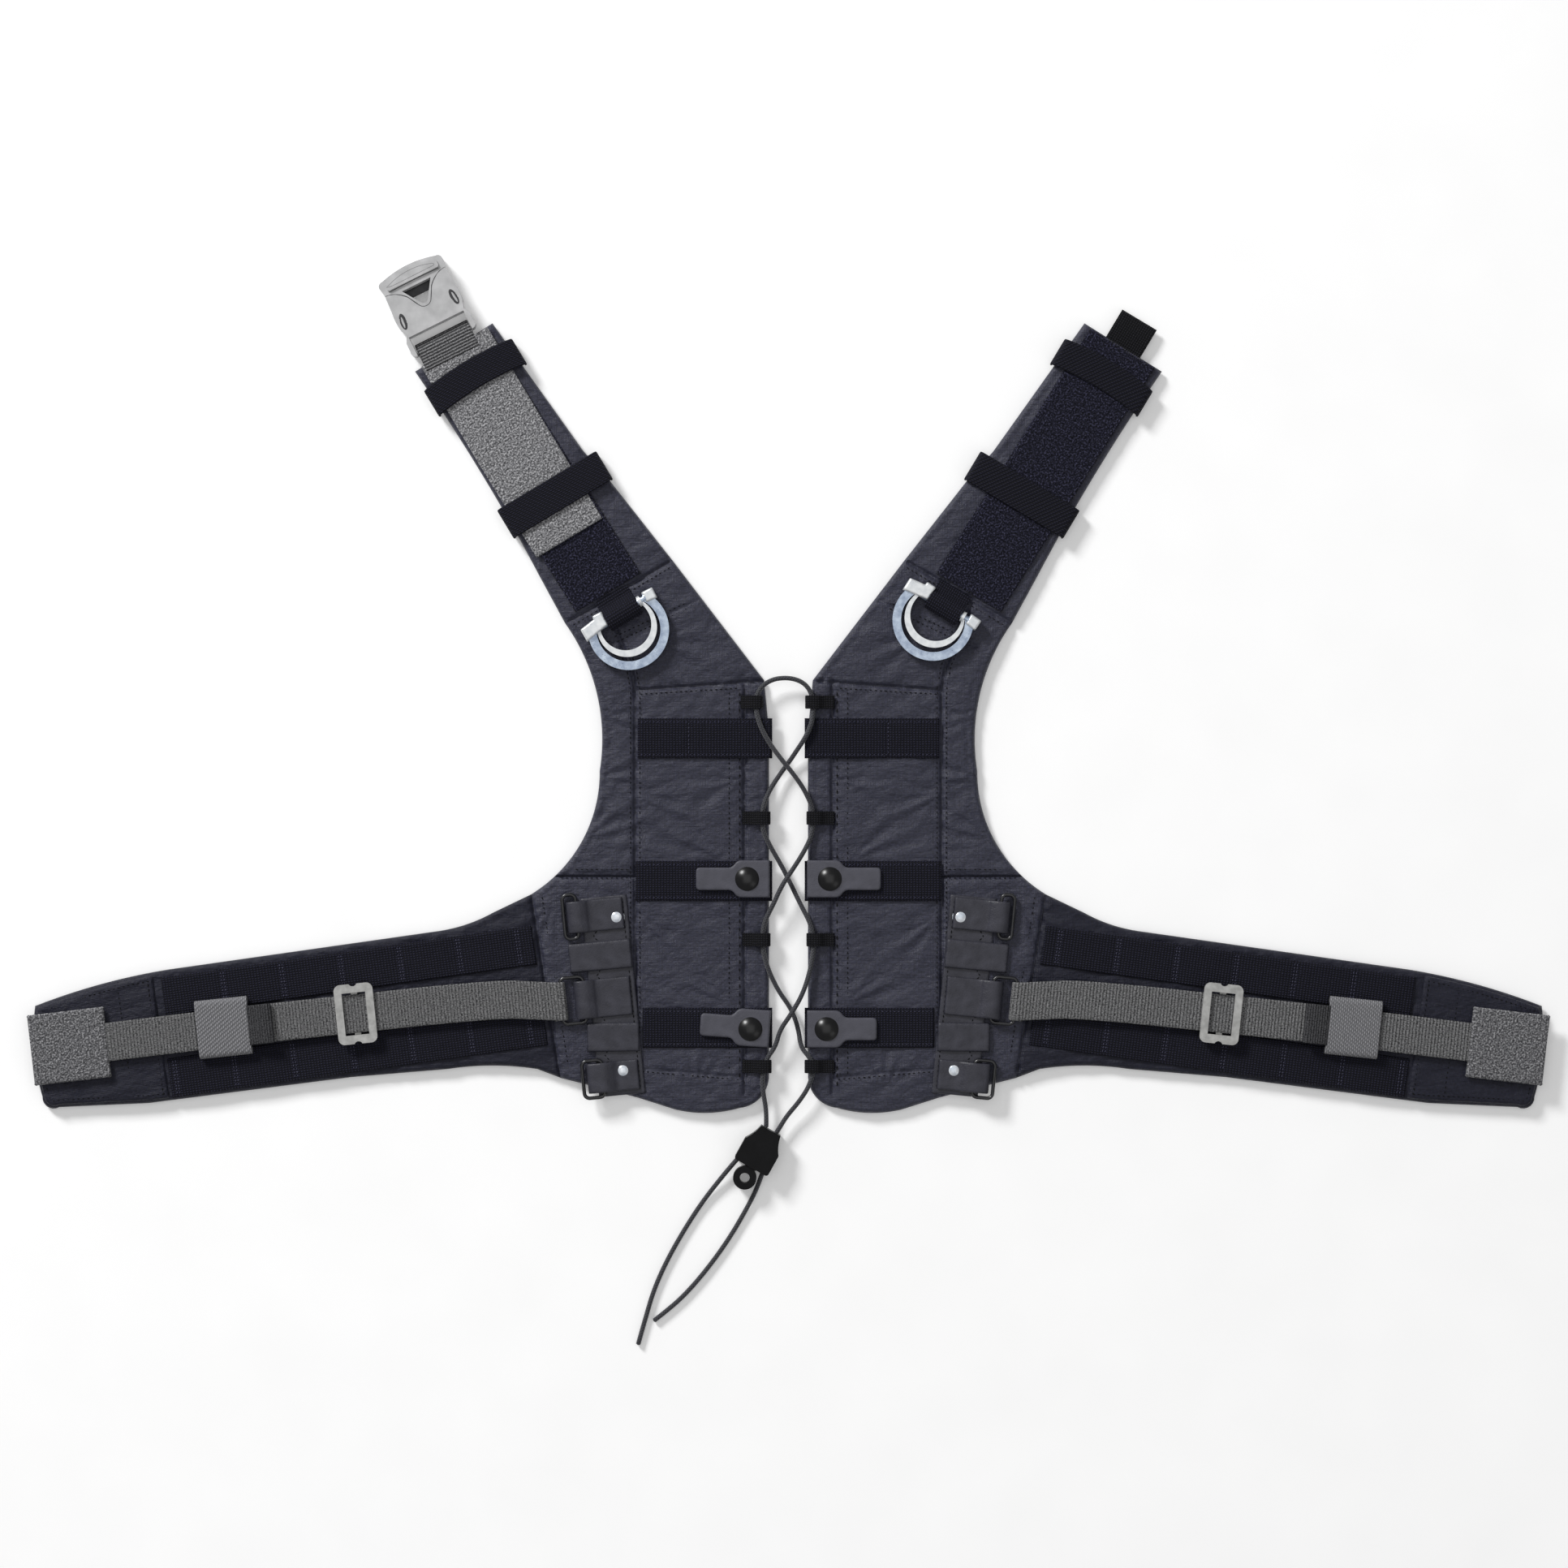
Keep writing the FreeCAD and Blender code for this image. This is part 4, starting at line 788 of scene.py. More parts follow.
def chest_rows(half, side, seed):
    """Three webbing rows across the chest, sewn along both edges"""
    for index, (start, end, middle) in enumerate(CHEST_ROWS):
        half_wide = 12.9
        outline = box_line(start, end, middle - half_wide, middle + half_wide)

        def relief(points, middle=middle, index=index):
            height = 0.3 * rolls(points, 26, seed + index) + 0.12 * rolls(points, 5, seed + 3)
            sewn = half_wide - 2.4 - np.abs(points[:, 1] - middle)
            height -= 0.35 * np.exp(-sewn ** 2)
            if index == 0:
                height -= 0.5 * np.exp(-((points[:, 0] - 64) / 1.1) ** 2)
            return height

        row = panel(f"{half}_chest_row_{index + 1}", side, outline, 5.2, WEB_TOP, NAVY_WEB, step=1.7, edge=0.9,
                    relief=relief)
        nodes = (f"{half}_torso_webbing",) if index == 0 else ()
        ride_on(row, f"{half}_torso", nodes)
        lines = [[(start + 1, middle + s * 10.5), (end - 1, middle + s * 10.5)] for s in (-1, 1)]
        if index == 0:
            lines.append([(64, middle - 11), (64, middle + 11)])
        threads = stitches(f"{half}_chest_row_{index + 1}_stitches", side, lines, level_at(WEB_TOP), THREAD,
                           pitch=2.6, length=1.5, wide=0.6)
        ride_on(threads, f"{half}_torso", ())


def belt_rows(half, side, seed):
    """Two webbing rows along the belt, tacked down every 38 mm, and the cover over its tip"""
    for index, (start, end, middle) in enumerate(BELT_ROWS):
        half_wide = 12.7
        outline = box_line(start, end, middle - half_wide, middle + half_wide)

        def relief(points, index=index):
            phase = (points[:, 0] - 14) / STITCH_PITCH
            bulge = np.abs(np.sin(np.pi * phase)) ** 0.35
            height = bulge - 1 + 0.15 * rolls(points, 20, seed + index)
            return height + 0.1 * rolls(points, 5, seed + 6)

        row = panel(f"{half}_belt_row_{index + 1}", side, outline, 5.2, WEB_TOP, NAVY_WEB, seat=BELT, step=1.7,
                    edge=0.9, relief=relief)
        nodes = (f"{half}_belt_webbing",) if index == 0 else ()
        ride_on(row, f"{half}_belt", nodes)
        columns = np.arange(14, end - 2, STITCH_PITCH)
        lines = [[(x + gap, middle - 11.6), (x + gap, middle + 11.6)] for x in columns for gap in (-0.9, 0.9)]
        threads = stitches(f"{half}_belt_row_{index + 1}_tacks", side, lines, level_at(WEB_TOP - 0.35),
                           THREAD, seat=BELT, pitch=2.2, length=1.7, wide=0.7)
        ride_on(threads, f"{half}_belt", ())
    tip = [(249, -37.4), (262, -37), (319.4, -31.8), (326.8, -30, 328.4, -24.6), (329.6, 3, 325, 31.6),
           (286, 38.6, 249, 42)]

    def tip_relief(points):
        return 0.35 * rolls(points, 24, seed) + 0.16 * creases(points, seed + 2, turn=70)

    cover = panel(f"{half}_belt_tip", side, tip, 4.6, WEB_TOP, BELT_FABRIC, seat=BELT, step=2.2, edge=1.6,
                  relief=tip_relief)
    ride_on(cover, f"{half}_belt", ())
    edge = beside(trace(tip, 3), 3.2)
    inner = [(252.5, -34), (252.5, 38.5)]
    threads = stitches(f"{half}_belt_tip_stitches", side, [edge, inner, [(272, -33), (272, 37)]],
                       level_at(WEB_TOP + 0.15), DARK_THREAD, seat=BELT, pitch=3.2, length=2.1, wide=0.8)
    ride_on(threads, f"{half}_belt", ())


# ---------------------------------------------------------------- belt strap
def belt_strap(half, side, seed):
    """Grey strap looped round the middle ring, its folded tail, and the fuzzy patch at its end"""
    route = [(-3, -6.4, 7.4), (-7, -6.3, 6.9), (-10.6, -6.2, 7.6), (-11.4, -6.2, 9.2), (-10.4, -6.1, 10.9),
             (-7, -5.9, 11.2), (-2, -5.2, 10.8), (12, -3.1, 10.75), (30, -1, 10.75), (70, 0, 10.75),
             (122.8, 0, 10.75), (190, -0.2, 10.75), (250, -1, 10.7), (284, -1.6, 10.6)]
    strap = ribbon(f"{half}_belt_strap_cloth", side, route, 24.6, 1.5, BELT_GREY, seat=STRAP, edge=0.6, step=1.6)
    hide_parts(f"{half}_belt_strap")
    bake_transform(strap)
    fold = [(192, -0.2, 12.2), (181, -0.2, 12.2), (177.4, -0.2, 12.8), (176.6, -0.2, 14), (178, -0.2, 15.2),
            (182, -0.2, 15.4), (187, -0.2, 14.7), (192, -0.2, 13.6)]
    tail = ribbon(f"{half}_belt_strap_fold", side, fold[::-1], 25.2, 1.1, FOLD_GREY, seat=STRAP, edge=0.5)
    ride_on(tail, f"{half}_belt", ())
    patch_seat = seat_point(STRAP, 307.6, -1.6) + (STRAP[2] - 0.6,)
    outline = [(22.7, -22.6), (24.7, -22.4, 24.7, -20.6), (24.7, 20.6), (24.6, 22.5, 22.7, 22.6),
               (-22.7, 22.6), (-24.7, 22.4, -24.7, 20.6), (-24.7, -20.6), (-24.6, -22.5, -22.7, -22.6)]
    patch = panel(f"{half}_end_patch", side, outline, 8.6, 11.9, PATCH_LOOP, seat=patch_seat, step=1.4, edge=1.4,
                  relief=unevenness(9, 0.25, 2.4, 0.3, seed))
    ride_on(patch, f"{half}_belt", ())
    band = [(-14, 8.9), (-16.8, 8.9), (-18, 9.8), (-17.9, 11.4), (-16.6, 12.7), (-13, 13.1), (0, 13.2), (13, 13.1),
            (16.6, 12.7), (17.9, 11.4), (18, 9.8), (16.8, 8.9), (14, 8.9)]
    route = [(208, y, z) for y, z in band]
    keeper = ribbon(f"{half}_belt_keeper_band", side, route, 34, 1.1, GREY_ELASTIC, seat=STRAP, turn=90, edge=0.6)
    ride_on(keeper, f"{half}_keeper", (f"{half}_belt_keeper",))


# ---------------------------------------------------------------- shoulder strap
BUCKLE = seat_point(SHOULDER, 10.8, 220.9) + (SHOULDER[2] + 4.5,)
# The two elastic keepers: (lower edge, upper edge, inner end, outer end)
KEEPERS = {"lower": (64, 85, -33.4, 39.4), "upper": (157, 176, -24.2, 40.2)}


def keeper_band(half, side, which, stack):
    """Elastic band over the shoulder strap, its ends tucked down the pad's edges"""
    low, high, inner, outer = KEEPERS[which]
    top = stack + 0.9
    crown = 2.6 if which == "upper" else 0
    middle = (low + high) / 2
    centre = (inner + outer) / 2
    bend = [(0.5, 1.4), (0, 3.5), (0.1, top - 2.2), (1.4, top - 0.5), (4, top), (14, top + 0.1)]
    across = [(inner + gap, z) for gap, z in bend] + [(centre, top + 0.15)]
    across += [(outer - gap, z) for gap, z in reversed(bend)]
    reach = (outer - inner) / 2
    route = [(a, middle + crown * (1 - ((a - centre) / reach) ** 2) - crown / 2, z) for a, z in across]
    band = ribbon(f"{half}_shoulder_keeper_{which}", side, route, high - low, 1.3, ELASTIC, seat=SHOULDER,
                  edge=0.7)
    nodes = (f"{half}_shoulder_keepers",) if which == "lower" else ()
    ride_on(band, f"{half}_shoulder", nodes)


def shoulder(half, side, seed):
    """Loop-faced strip on the shoulder pad and its two elastic keepers"""
    outline = [(30.5, 3), (34.5, 188.5), (-14.5, 189), (-18.5, 3)]
    strip = panel(f"{half}_loop_strip", side, outline, 5.2, WEB_TOP, NAVY_LOOP, seat=SHOULDER, step=1.8, edge=1.0,
                  relief=unevenness(18, 0.14, 3, 0.16, seed))
    ride_on(strip, f"{half}_shoulder", (f"{half}_shoulder_loop_strip",))
    stack = WEB_TOP + (1.8 if side < 0 else 0.2)
    for which in KEEPERS:
        keeper_band(half, side, which, stack)
    lines = [beside([(30.5, 4), (34.5, 187)], 1.6), beside([(-14.5, 187), (-18.5, 4)], 1.6)]
    threads = stitches(f"{half}_loop_strip_stitches", side, lines, level_at(WEB_TOP), THREAD, seat=SHOULDER,
                       pitch=3.2, length=1.9, wide=0.6)
    ride_on(threads, f"{half}_shoulder", ())


def grey_strap(seed):
    """Grey loop-faced strap of the left shoulder and the ribbed webbing that runs from it into the buckle"""
    side = SIDES["left"]
    outline = [(33.8, 46), (34.6, 120), (34.2, 189), (-15.2, 189), (-15.0, 120), (-15.4, 46)]
    face = panel("left_grey_loop_strap", side, outline, 7.3, 9.05, GREY_LOOP, seat=SHOULDER, step=1.6, edge=0.9,
                 relief=unevenness(16, 0.1, 2.6, 0.18, seed))
    ride_on(face, "left_shoulder", ("grey_shoulder_strap",))
    route = [(0, -38, 9.1), (0, -33, 8.8), (0, -28, 8.7), (0, -25.4, 8.6), (0, -22.6, 7.6), (0, -20.4, 5.4),
             (0, -19.4, 3.4)]
    tail = ribbon("left_buckle_webbing", side, route, 37.6, 1.5, GREY_WEB, seat=BUCKLE, turn=90, edge=0.6)
    ride_on(tail, "left_shoulder", ())


def end_tab():
    """Short end of dark webbing that shows past the right shoulder pad"""
    route = [(9.9, 184, 2.6), (9.9, 192, 3.6), (9.9, 200, 4.2), (9.9, 206, 4), (9.9, 210, 3.6)]
    tab = ribbon("right_end_tab_webbing", SIDES["right"], route, 25.8, 2, BLACK_TAPE, seat=SHOULDER, turn=90,
                 edge=0.8)
    ride_on(tab, "right_shoulder", ("right_end_tab",))


# ---------------------------------------------------------------- leather
INNER_EDGE = 12.5
TABS = {"upper": (-124.5, 59.3), "lower": (-220.7, 56.7)}


def snap_tab(half, side, which, seed):
    """Leather tab hinged at the inner edge"""
    level, reach = TABS[which]
    end = reach - INNER_EDGE
    outline = [(-0.6, -12), (17, -12), (19.5, -11.6, 22, -9.6), (24, -7.8, 27, -7.3), (end - 2.4, -7.3),
               (end - 0.7, -6.6, end, -4.9), (end, 4.9), (end - 0.7, 6.6, end - 2.4, 7.3), (27, 7.3),
               (24, 7.8, 22, 9.6), (19.5, 11.6, 17, 12), (-0.6, 12)]
    tilt = 4 if (half, which) == ("left", "lower") else 0

    def soft(points):
        return 0.16 * rolls(points, 10, seed) + 0.35 * np.exp(-np.hypot(points[:, 0] - 13, points[:, 1]) / 9)

    tab = panel(f"{half}_{which}_leather_tab", side, outline, 7.7, 9.75, TAB_LEATHER,
                seat=(INNER_EDGE, level, tilt), step=1.1, edge=0.8, relief=soft)
    ride_on(tab, f"{half}_{which}_tab", (f"{half}_{which}_snap_tab",))


def ring_holder(half, side, seed):
    """Leather patch with three folded loops round the wire rings, and two straps between them"""
    def soft(points):
        return 0.2 * rolls(points, 12, seed)

    patch = panel(f"{half}_ring_patch", side, box_line(0, 30, -62, 66), 5.2, 7.0, LEATHER, seat=RINGS, step=1.4,
                  edge=0.8, relief=soft)
    ride_on(patch, f"{half}_torso", (f"{half}_ring_holder",))
    loops = [(39.2, 44.3, 64.5, 32.9), (39.3, -11, 13.5, 33), (36.1, -59, -40, 25.9)]
    for index, (edge, low, high, tunnel) in enumerate(loops):
        middle = (low + high) / 2
        fold = [(3, 7.9), (12, 7.8), (tunnel - 9, 8.1), (tunnel - 5.4, 9.9), (tunnel - 1.5, 11.3),
                (tunnel + 2, 11.4), (edge - 2, 10.5), (edge - 0.6, 8.9), (edge - 2, 7.4)]
        route = [(x, middle, z) for x, z in fold]
        loop = ribbon(f"{half}_ring_loop_{index + 1}", side, route, high - low, 1.5, LEATHER, seat=RINGS, edge=0.8)
        ride_on(loop, f"{half}_torso", ())
    straps = [(40.5, 28.25, 18.5, 0), (34, -25.75, 18.5, 4.5)]
    for index, (edge, middle, wide, tilt) in enumerate(straps):
        outline = box_line(0.5, edge, -wide / 2, wide / 2)
        seat = seat_point(RINGS, 0, middle) + (RINGS[2] + tilt,)
        strap = panel(f"{half}_ring_strap_{index + 1}", side, outline, 6, 9.0, LEATHER, seat=seat, step=1.3,
                      edge=0.9, relief=soft)
        ride_on(strap, f"{half}_torso", ())
    zigzag = [(22.6 + (1.6 if k % 2 else -1.6), q) for k, q in enumerate(np.arange(-58, 62, 3.2))]
    lines = [zigzag, [(3, -60), (3, 64)]]
    threads = stitches(f"{half}_ring_patch_stitches", side, lines, level_at(7.2), DARK_THREAD, seat=RINGS,
                       pitch=3.2, length=2.4, wide=0.8)
    ride_on(threads, f"{half}_torso", ())


# ---------------------------------------------------------------- small tapes
LOOP_LEVELS = (-11.2, -85.5, -163.5, -244.7)
LOOP_CENTRES = {("left", 0): 21.3, ("right", 0): 15.8, ("left", 3): 15.9, ("right", 3): 15.4}


def lace_loops(half, side):
    """Four ribbed tapes folded over the cord at the inner edge"""
    for index, level in enumerate(LOOP_LEVELS):
        centre = LOOP_CENTRES.get((half, index), 16.6)
        fold = [(29.6, 6.8), (centre + 9, 7), (centre + 6, 7.9), (centre + 3.2, 10), (centre, 10.5),
                (centre - 3, 10.3), (centre - 4.5, 9), (centre - 4.4, 7), (centre - 2, 5.9), (centre + 3, 5.8)]
        route = [(x, level, z) for x, z in fold]
        loop = ribbon(f"{half}_lace_tape_{index + 1}", side, route[::-1], 8.5, 0.9, BLACK_TAPE, edge=0.4, step=0.9)
        nodes = (f"{half}_lace_loops",) if index == 0 else ()
        ride_on(loop, f"{half}_torso", nodes)


D_RING_SEAT = {"left": 7, "right": -4.5}
BAR_BELOW_SEAM = -12


def d_ring_tape(half, side):
    """Webbing folded round the D-ring's bar and sewn down at the shoulder seam"""
    middle = D_RING_SEAT[half] + side * 2
    fold = [(1.5, 6.9), (-3, 7.1), (-5.6, 8.9), (-8.4, 12.4), (-12, 13.8), (-15.6, 13.2), (-18.4, 11.2),
            (-18.8, 8.8), (-17, 7), (-12, 6), (-4, 6.1)]
    route = [(middle, s, z) for s, z in fold]
    tape = ribbon(f"{half}_d_ring_webbing", side, route, 23.4, 1.2, NAVY_WEB, seat=SHOULDER, turn=-90, edge=0.5,
                  step=0.9)
    ride_on(tape, f"{half}_torso", (f"{half}_d_ring_tab",))


def d_ring_blocks(half, side):
    """The stepped block on one end of the D-ring's bar and the small one on the other"""
    stepped = [(-26.8, -4.8), (-26.4, -5.2), (-18.5, -4), (-9.4, -2.6), (-9, 6.8), (-9.4, 7.1), (-15.2, 7.4),
               (-15.8, 6.9), (-16.2, 5.2), (-25.9, 4), (-26.6, 3.4)]
    small = [(18.6, -3.2), (25.8, -4), (26.5, -3.5), (26.9, 3.2), (26.3, 3.8), (19.4, 4.3), (18.9, 3.8)]
    for index, outline in enumerate((stepped, small)):
        seat = seat_point(SHOULDER, D_RING_SEAT[half], BAR_BELOW_SEAM) + (SHOULDER[2],)
        outline = [(side * x, y) for x, y in outline]
        block = panel(f"{half}_d_ring_block_{index + 1}", side, outline, 6.6, 13.5, RING_PALE, seat=seat, step=0.9,
                      edge=0.8)
        ride_on(block, f"{half}_torso", ())


def oval(x, y, half_wide, half_long, tilt):
    """An ellipse as a line of corners"""
    turn = math.radians(tilt)
    points = []
    for angle in np.arange(0, 2 * math.pi, math.pi / 12):
        a, b = half_wide * math.cos(angle), half_long * math.sin(angle)
        points.append((x + a * math.cos(turn) - b * math.sin(turn), y + a * math.sin(turn) + b * math.cos(turn)))
    return points


def buckle_details():
    """Painted shade on the buckle: dark side windows with light rails, a dark seam line, a painted shadow under
    the rib, a dark line round the rib panel, and the shaded floor of the slot
    """
    side = SIDES["left"]
    for index, end in enumerate((-1, 1)):
        # Painted shade: a dark oval disc where each side window opens, with a light rail laid in it
        window_shade_disc = panel(f"buckle_window_{index + 1}", side, oval(end * 18.1, -3.4, 2.3, 5.6, end * 6), 12.6, 13.06,
                       PAINTED_SHADE, seat=BUCKLE, step=0.8, edge=0.3)
        ride_on(window_shade_disc, "left_shoulder", ())
        rail = panel(f"buckle_window_rail_{index + 1}", side, oval(end * 18.4, -3.9, 0.8, 3.8, end * 6), 12.8,
                     13.3, BUCKLE_GREY, seat=BUCKLE, step=0.5, edge=0.4)
        ride_on(rail, "left_shoulder", ())
    # Painted shade: a dark line along the seam between the buckle body and its insert
    curve = [(-20.4, 16.1, 13), (-16.6, 15.4, 13), (-12.6, 12.8, 13), (-8.7, 9.3, 13), (-6.2, 4.8, 13),
             (-4, 1.3, 13), (-1.6, -0.4, 13), (1.6, -0.4, 13), (4, 1.3, 13), (6.2, 4.8, 13), (8.7, 9.3, 13),
             (12.6, 12.8, 13), (16.6, 15.4, 13), (20.4, 16.1, 13)]
    seam = painted_shade_line("buckle_seam_shade_line", side, smooth_line(curve), 0.7, BUCKLE)
    ride_on(seam, "left_shoulder", ())
    # Painted shade: a dark sheet on the floor of the slot's upper part
    shade = panel("buckle_slot_shade", side, [(6.6, 8.2), (9.9, 13.9), (-9.9, 13.9), (-6.6, 8.2)], 7.5, 8.2,
                  PAINTED_SHADE, seat=BUCKLE, step=1.2, edge=0.4)
    ride_on(shade, "buckle_insert_body", ())
    # Painted shadow: a dark strip under the rib's lower edge
    under = [(-17.6, 17.5, 13.02), (-9, 17.7, 13.02), (0, 17.8, 13.02), (9, 17.7, 13.02), (17.6, 17.5, 13.02)]
    under = painted_shade_line("buckle_rib_shade", side, smooth_line(under), 1.3, BUCKLE)
    ride_on(under, "buckle_insert_body", ())
    # Painted shade: a dark line round the rib's inset panel
    border = [(-15.6, 20.2), (-15.4, 21.6), (-8, 23.7), (0, 24.4), (8, 23.7), (15.4, 21.6), (15.6, 20.2),
              (-15.6, 20.2)]
    border = smooth_line([(x, y, 14.42) for x, y in border])
    rim = painted_shade_line("buckle_rib_border_shade", side, border, 0.5, BUCKLE)
    ride_on(rim, "buckle_insert_body", ())


def painted_shade_line(name, side, line, wide, seat):
    """A thin line of painted shade that lies in a moulded surface"""
    across = to_left(np.gradient(line[:, :2], axis=0)) * wide / 2
    rows = [line[:, :2] - across, line[:, :2], line[:, :2] + across]
    levels = [line[:, 2] - 0.15, line[:, 2] + 0.06, line[:, 2] - 0.15]
    count = len(line)
    points = []
    for row, level in zip(rows, levels):
        u, v = seat_point(seat, row[:, 0], row[:, 1])
        points.append(np.column_stack([u, v, level]))
    faces = []
    for lane in range(2):
        for index in range(count - 1):
            a = lane * count + index
            faces.append((a, a + 1, a + count + 1, a + count))
    return mesh_piece(name, side, np.vstack(points), faces, np.vstack(rows), PAINTED_SHADE)


# ---------------------------------------------------------------- shock cord
CORD_THICK = 3
CORD_SIDES = 14
CORD_IN_LOOP = 8.2
LACING = [
    (-6.4, -285.3, 6), (-1.2, -276.6, 6.6), (6.6, -267.6, 7.7), (13.2, -257.6, CORD_IN_LOOP),
    (16.6, -246, CORD_IN_LOOP), (13.4, -238.6, CORD_IN_LOOP), (7.8, -232.4, 6.4), (6.4, -220.5, 5),
    (1.8, -207.8, 5), (-6.6, -196.3, 5.4), (-13.3, -182.2, 7.6), (-16.8, -168.5, CORD_IN_LOOP),
    (-16.2, -153.4, CORD_IN_LOOP), (-9.6, -140.6, 10.4), (-4.6, -129.3, 11), (1.9, -119.6, 11),
    (9.2, -108.4, 9.6), (15.3, -96.4, CORD_IN_LOOP), (16.2, -80.9, CORD_IN_LOOP), (10.6, -67.9, 9.6),
    (3.2, -57.3, 11), (-4.9, -47.5, 11), (-12.6, -37, 10), (-18.4, -26, 9.7), (-21.5, -14, CORD_IN_LOOP),
    (-19.6, -3.4, 8.4), (-11.2, 3.4, 8.6), (0.4, 4.6, 8.6), (9.6, 1.6, 8.4), (14.9, -5.2, CORD_IN_LOOP),
    (16, -16.6, 8.3), (14.6, -26, 9.8), (10.2, -35, 9.8), (5.2, -42.4, 7), (0.8, -49, 5), (-6.2, -58.4, 5),
    (-13.2, -69.5, 6.6), (-17, -80.6, CORD_IN_LOOP), (-16.8, -93.2, CORD_IN_LOOP), (-11.2, -104.6, 6.8),
    (-4.8, -115.4, 5), (1.8, -128.4, 5), (7.8, -141.1, 6.6), (15, -154.6, CORD_IN_LOOP),
    (16.4, -169.6, CORD_IN_LOOP), (13.5, -184.8, 9.6), (8.9, -198.8, 11), (1.4, -211.5, 11),
    (-5.6, -221.4, 9.8), (-8.2, -231.8, 8.8), (-14.4, -240.2, CORD_IN_LOOP), (-16.8, -250.4, CORD_IN_LOOP),
    (-16.3, -261.4, 7.8), (-14.3, -272, 6.6), (-14.2, -282.6, 6),
]
AT_RIGHT_TAIL = (-7.8, -287.2, 6)
AT_LEFT_TAIL = (-14.4, -283.7, 6)
LEFT_TAIL = [
    (-14.4, -283.9, 6), (-24.1, -294.6, 6), (-34.2, -305.6, 5.6), (-43.6, -317, 3.4), (-54.9, -331.5, 1.7),
    (-66, -348.4, 1.6), (-77.6, -368.7, 1.6), (-86.3, -387.9, 1.6), (-91.9, -406.9, 1.6), (-96.5, -423.4, 1.6),
]
RIGHT_TAIL = [
    (-8, -287.5, 6), (-12.2, -299.6, 6), (-16.5, -312.6, 5.6), (-20.9, -324.7, 3.2), (-27.4, -337.4, 1.7),
    (-37.8, -355.2, 1.6), (-50.9, -373.6, 1.6), (-64.9, -390.1, 1.6), (-76.2, -400.5, 1.6), (-86.2, -408.2, 1.6),
]


def cord_path(name, route):
    """Points along one smooth curve through a cord's route, in metres"""
    curve = bpy.data.curves.new(name + "_guide", "CURVE")
    curve.dimensions = "3D"
    spline = curve.splines.new("NURBS")
    spline.points.add(len(route) - 1)
    for point, place in zip(spline.points, route):
        point.co = (place[0] * MM, place[1] * MM, place[2] * MM, 1)
    spline.order_u = 3
    spline.use_endpoint_u = True
    spline.resolution_u = 8
    guide = bpy.data.objects.new(name + "_guide", curve)
    line = bpy.data.meshes.new_from_object(guide)
    points = [tuple(vertex.co) for vertex in line.vertices]
    bpy.data.objects.remove(guide)
    bpy.data.curves.remove(curve)
    bpy.data.meshes.remove(line)
    return points


def cord_tube(name, path, bulge):
    """A round cord along its path, its ends bulging by a share of its radius, with weave coordinates"""
    line = np.array(path)
    tangents = unit(np.gradient(line, axis=0))
    radius = CORD_THICK / 2 * MM
    count = CORD_SIDES
    run = run_along(line)
    sideways = unit(np.cross(tangents, (0, 0, 1)))
    upward = np.cross(sideways, tangents)
    points, faces, coordinates = [], [], []
    for index, centre in enumerate(line):
        for step in range(count + 1):
            angle = 2 * math.pi * step / count
            points.append(centre + radius * (math.cos(angle) * sideways[index] + math.sin(angle) * upward[index]))
            coordinates.append((run[index] / MM, angle * radius / MM))
    wide = count + 1
    for index in range(len(line) - 1):
        for step in range(count):
            a = index * wide + step
            faces.append((a, a + 1, a + wide + 1, a + wide))
    for end, flip in ((0, -1), (len(line) - 1, 1)):
        first = end * wide
        tip = len(points)
        points.append(line[end] + tangents[end] * flip * radius * bulge)
        coordinates.append((run[end] / MM, 0))
        for step in range(count):
            face = (first + step, first + step + 1, tip)
            faces.append(face if flip > 0 else face[::-1])
    return mesh_piece(name, 1, np.array(points) / MM, [f[::-1] for f in faces], coordinates, CORD)


def cords():
    """The lacing and the two tails that leave the cord lock"""
    path = cord_path("lacing", [AT_RIGHT_TAIL] + LACING + [AT_LEFT_TAIL])
    lacing = cord_tube("lacing_cord_sheath", path, 0.15)
    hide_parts("lacing_cord")
    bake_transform(lacing)
    for name, route in (("left_cord_tail", LEFT_TAIL), ("right_cord_tail", RIGHT_TAIL)):
        path = cord_path(name, route)
        tail = cord_tube(name + "_sheath", path, 0.5)
        ride_on(tail, "left_torso", (name,))


# ---------------------------------------------------------------- hardware that keeps its CAD shape
def finish_hardware():
    """Give the metal and moulded parts their materials"""
    plain = {"buckle_body": BUCKLE_GREY, "buckle_insert": BUCKLE_GREY, "cord_lock_body": LOCK_BLACK,
             "cord_lock_plunger": LOCK_BLACK, "cord_lock_spring": SPRING}
    of_each_half = {"d_ring": RING_STEEL, "d_ring_inner": RING_PALE, "d_ring_bar": RING_STEEL, "rivets": CHROME,
                    "belt_adjuster": ALUMINIUM, "upper_wire_ring": BLACK_WIRE, "middle_wire_ring": BLACK_WIRE,
                    "lower_wire_ring": BLACK_WIRE, "upper_snap_cap": SNAP, "lower_snap_cap": SNAP}
    for half in SIDES:
        plain.update({f"{half}_{node}": material for node, material in of_each_half.items()})
    for node, material in plain.items():
        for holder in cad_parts[node].material_slots:
            holder.link = "OBJECT"
            holder.material = material


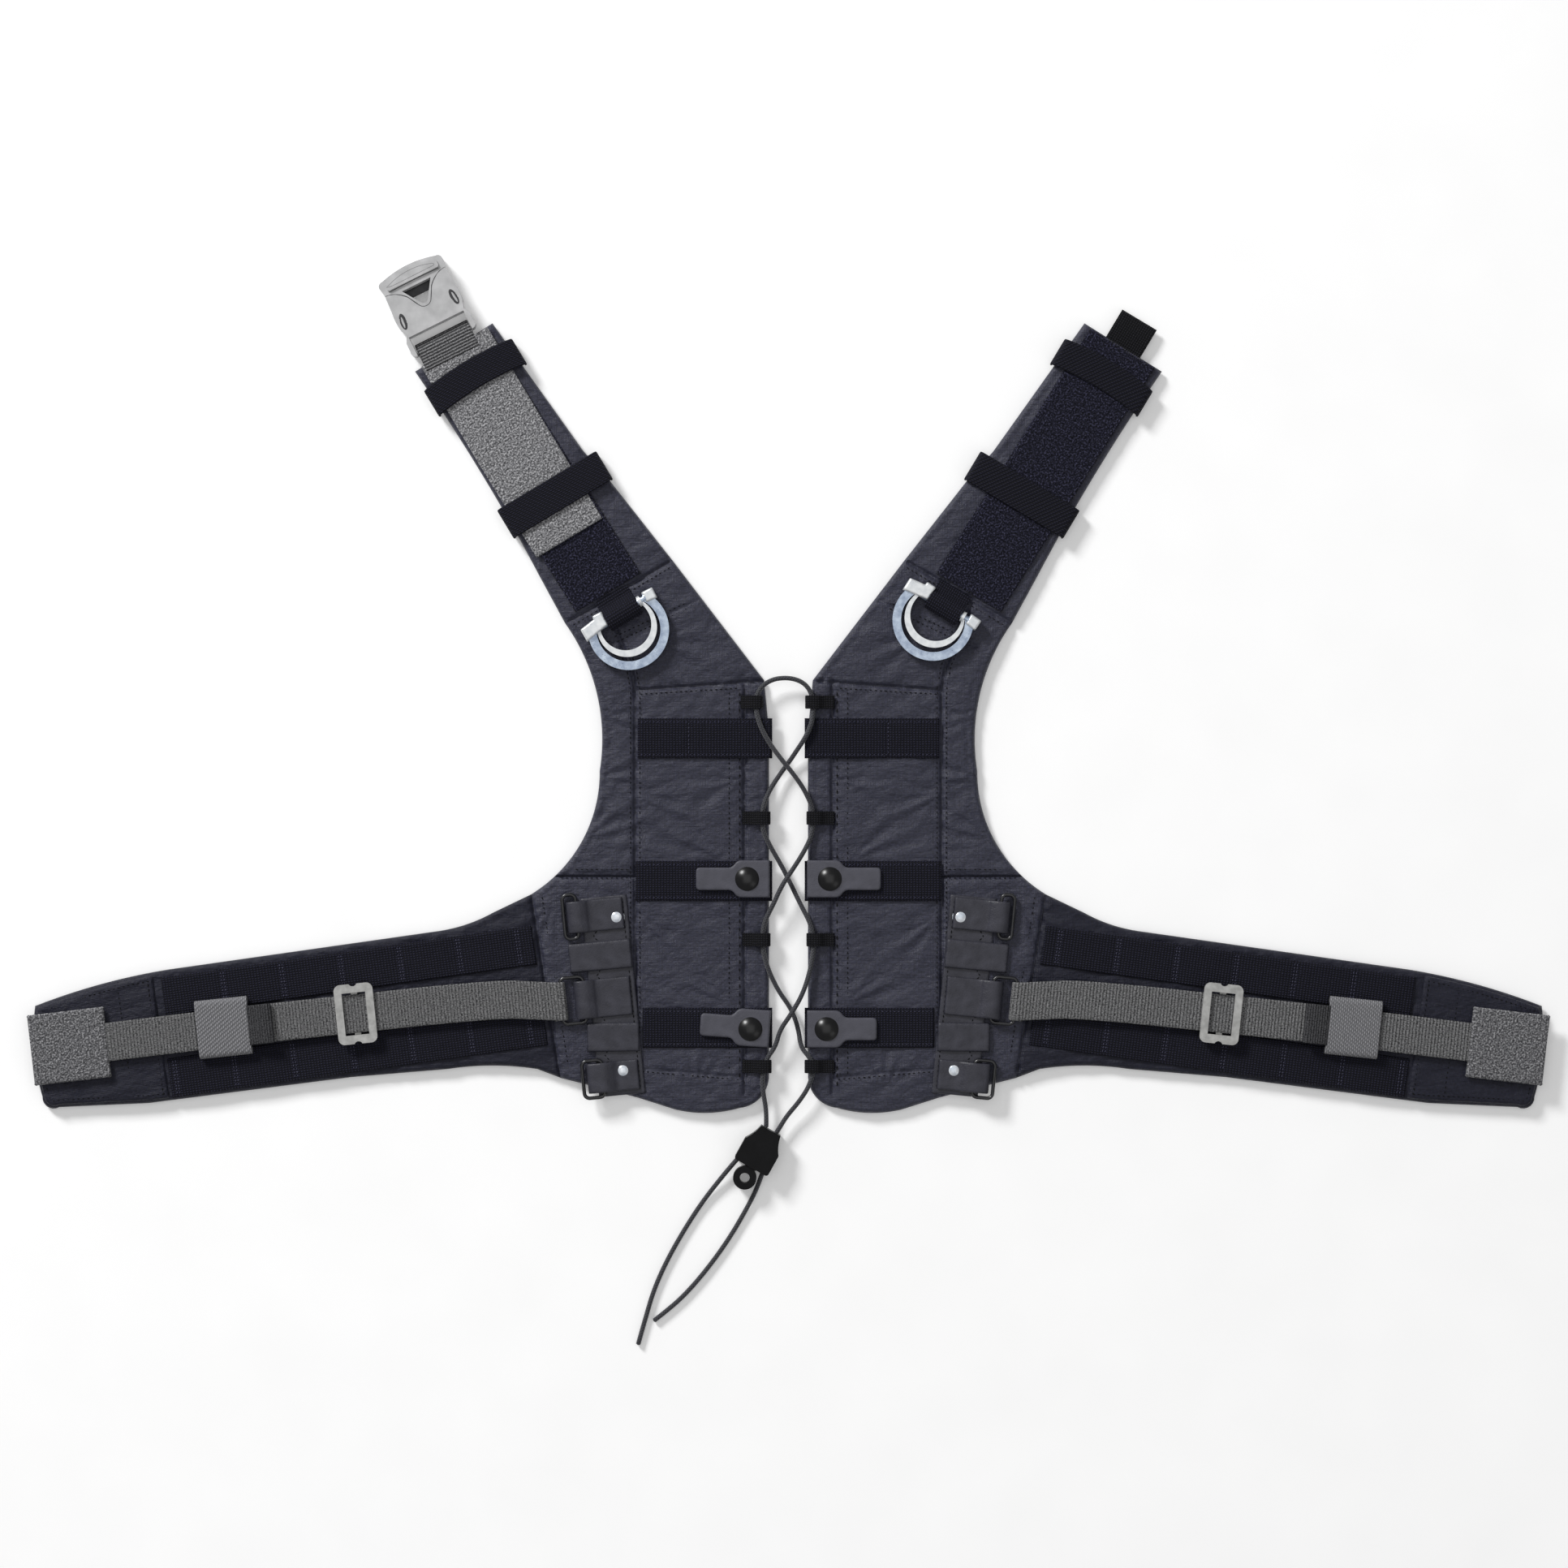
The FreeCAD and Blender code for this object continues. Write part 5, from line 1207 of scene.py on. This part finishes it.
# ---------------------------------------------------------------- the vest
for seed, (half, side) in enumerate(SIDES.items(), start=3):
    covers(half, side, seed)
    seam_threads(half, side)
    chest_rows(half, side, seed)
    belt_rows(half, side, seed)
    belt_strap(half, side, seed)
    shoulder(half, side, seed)
    for which in TABS:
        snap_tab(half, side, which, seed)
    ring_holder(half, side, seed)
    lace_loops(half, side)
    d_ring_tape(half, side)
    d_ring_blocks(half, side)
grey_strap(7)
buckle_details()
end_tab()
cords()
finish_hardware()


# ---------------------------------------------------------------- floor, light and camera
def light(name, place, size, power, target=(0, -0.06, 0)):
    """A soft square light turned to a point"""
    lamp = bpy.data.lights.new(name, "AREA")
    lamp.size = size
    lamp.energy = power
    holder = bpy.data.objects.new(name, lamp)
    holder.location = place
    holder.rotation_euler = (Vector(target) - Vector(place)).to_track_quat("-Z", "Y").to_euler()
    bpy.context.scene.collection.objects.link(holder)


def studio():
    """White floor, soft light from above and a camera that looks straight down"""
    mesh = bpy.data.meshes.new("floor")
    reach, below = 40, -0.0006
    mesh.from_pydata([(x, y, below) for x, y in box_line(-reach, reach, -reach, reach)], [], [(0, 1, 2, 3)])
    floor = bpy.data.objects.new("floor", mesh)
    bpy.context.scene.collection.objects.link(floor)
    paper = Finish("floor_paper", 0.9, by_weave=False, specular=0.1)
    paper.colour = paper.ramp(paper.grain(60, 2), [(0.2, "fbfbfb"), (0.8, "ffffff")])
    paper.shader.inputs["Emission Color"].default_value = (1, 1, 1, 1)
    paper.shader.inputs["Emission Strength"].default_value = 0.14
    mesh.materials.append(paper.done())
    light("key", (-3.2, 3.8, 2.9), 1.3, 280)
    light("top", (0.0, -0.06, 3.4), 3.4, 25)
    light("fill", (2.6, -2.4, 2.4), 2.0, 8)
    world = bpy.data.worlds.new("studio")
    world.use_nodes = True
    sky = world.node_tree.nodes["Background"]
    sky.inputs["Color"].default_value = (1, 1, 1, 1)
    sky.inputs["Strength"].default_value = 0.27
    bpy.context.scene.world = world
    lens = bpy.data.cameras.new("above")
    lens.sensor_width = 36
    lens.lens = 107.2
    holder = bpy.data.objects.new("above", lens)
    holder.location = (-0.00286, -0.0637, 3)
    bpy.context.scene.collection.objects.link(holder)
    bpy.context.scene.camera = holder
    bpy.context.scene.view_settings.view_transform = "Standard"


studio()
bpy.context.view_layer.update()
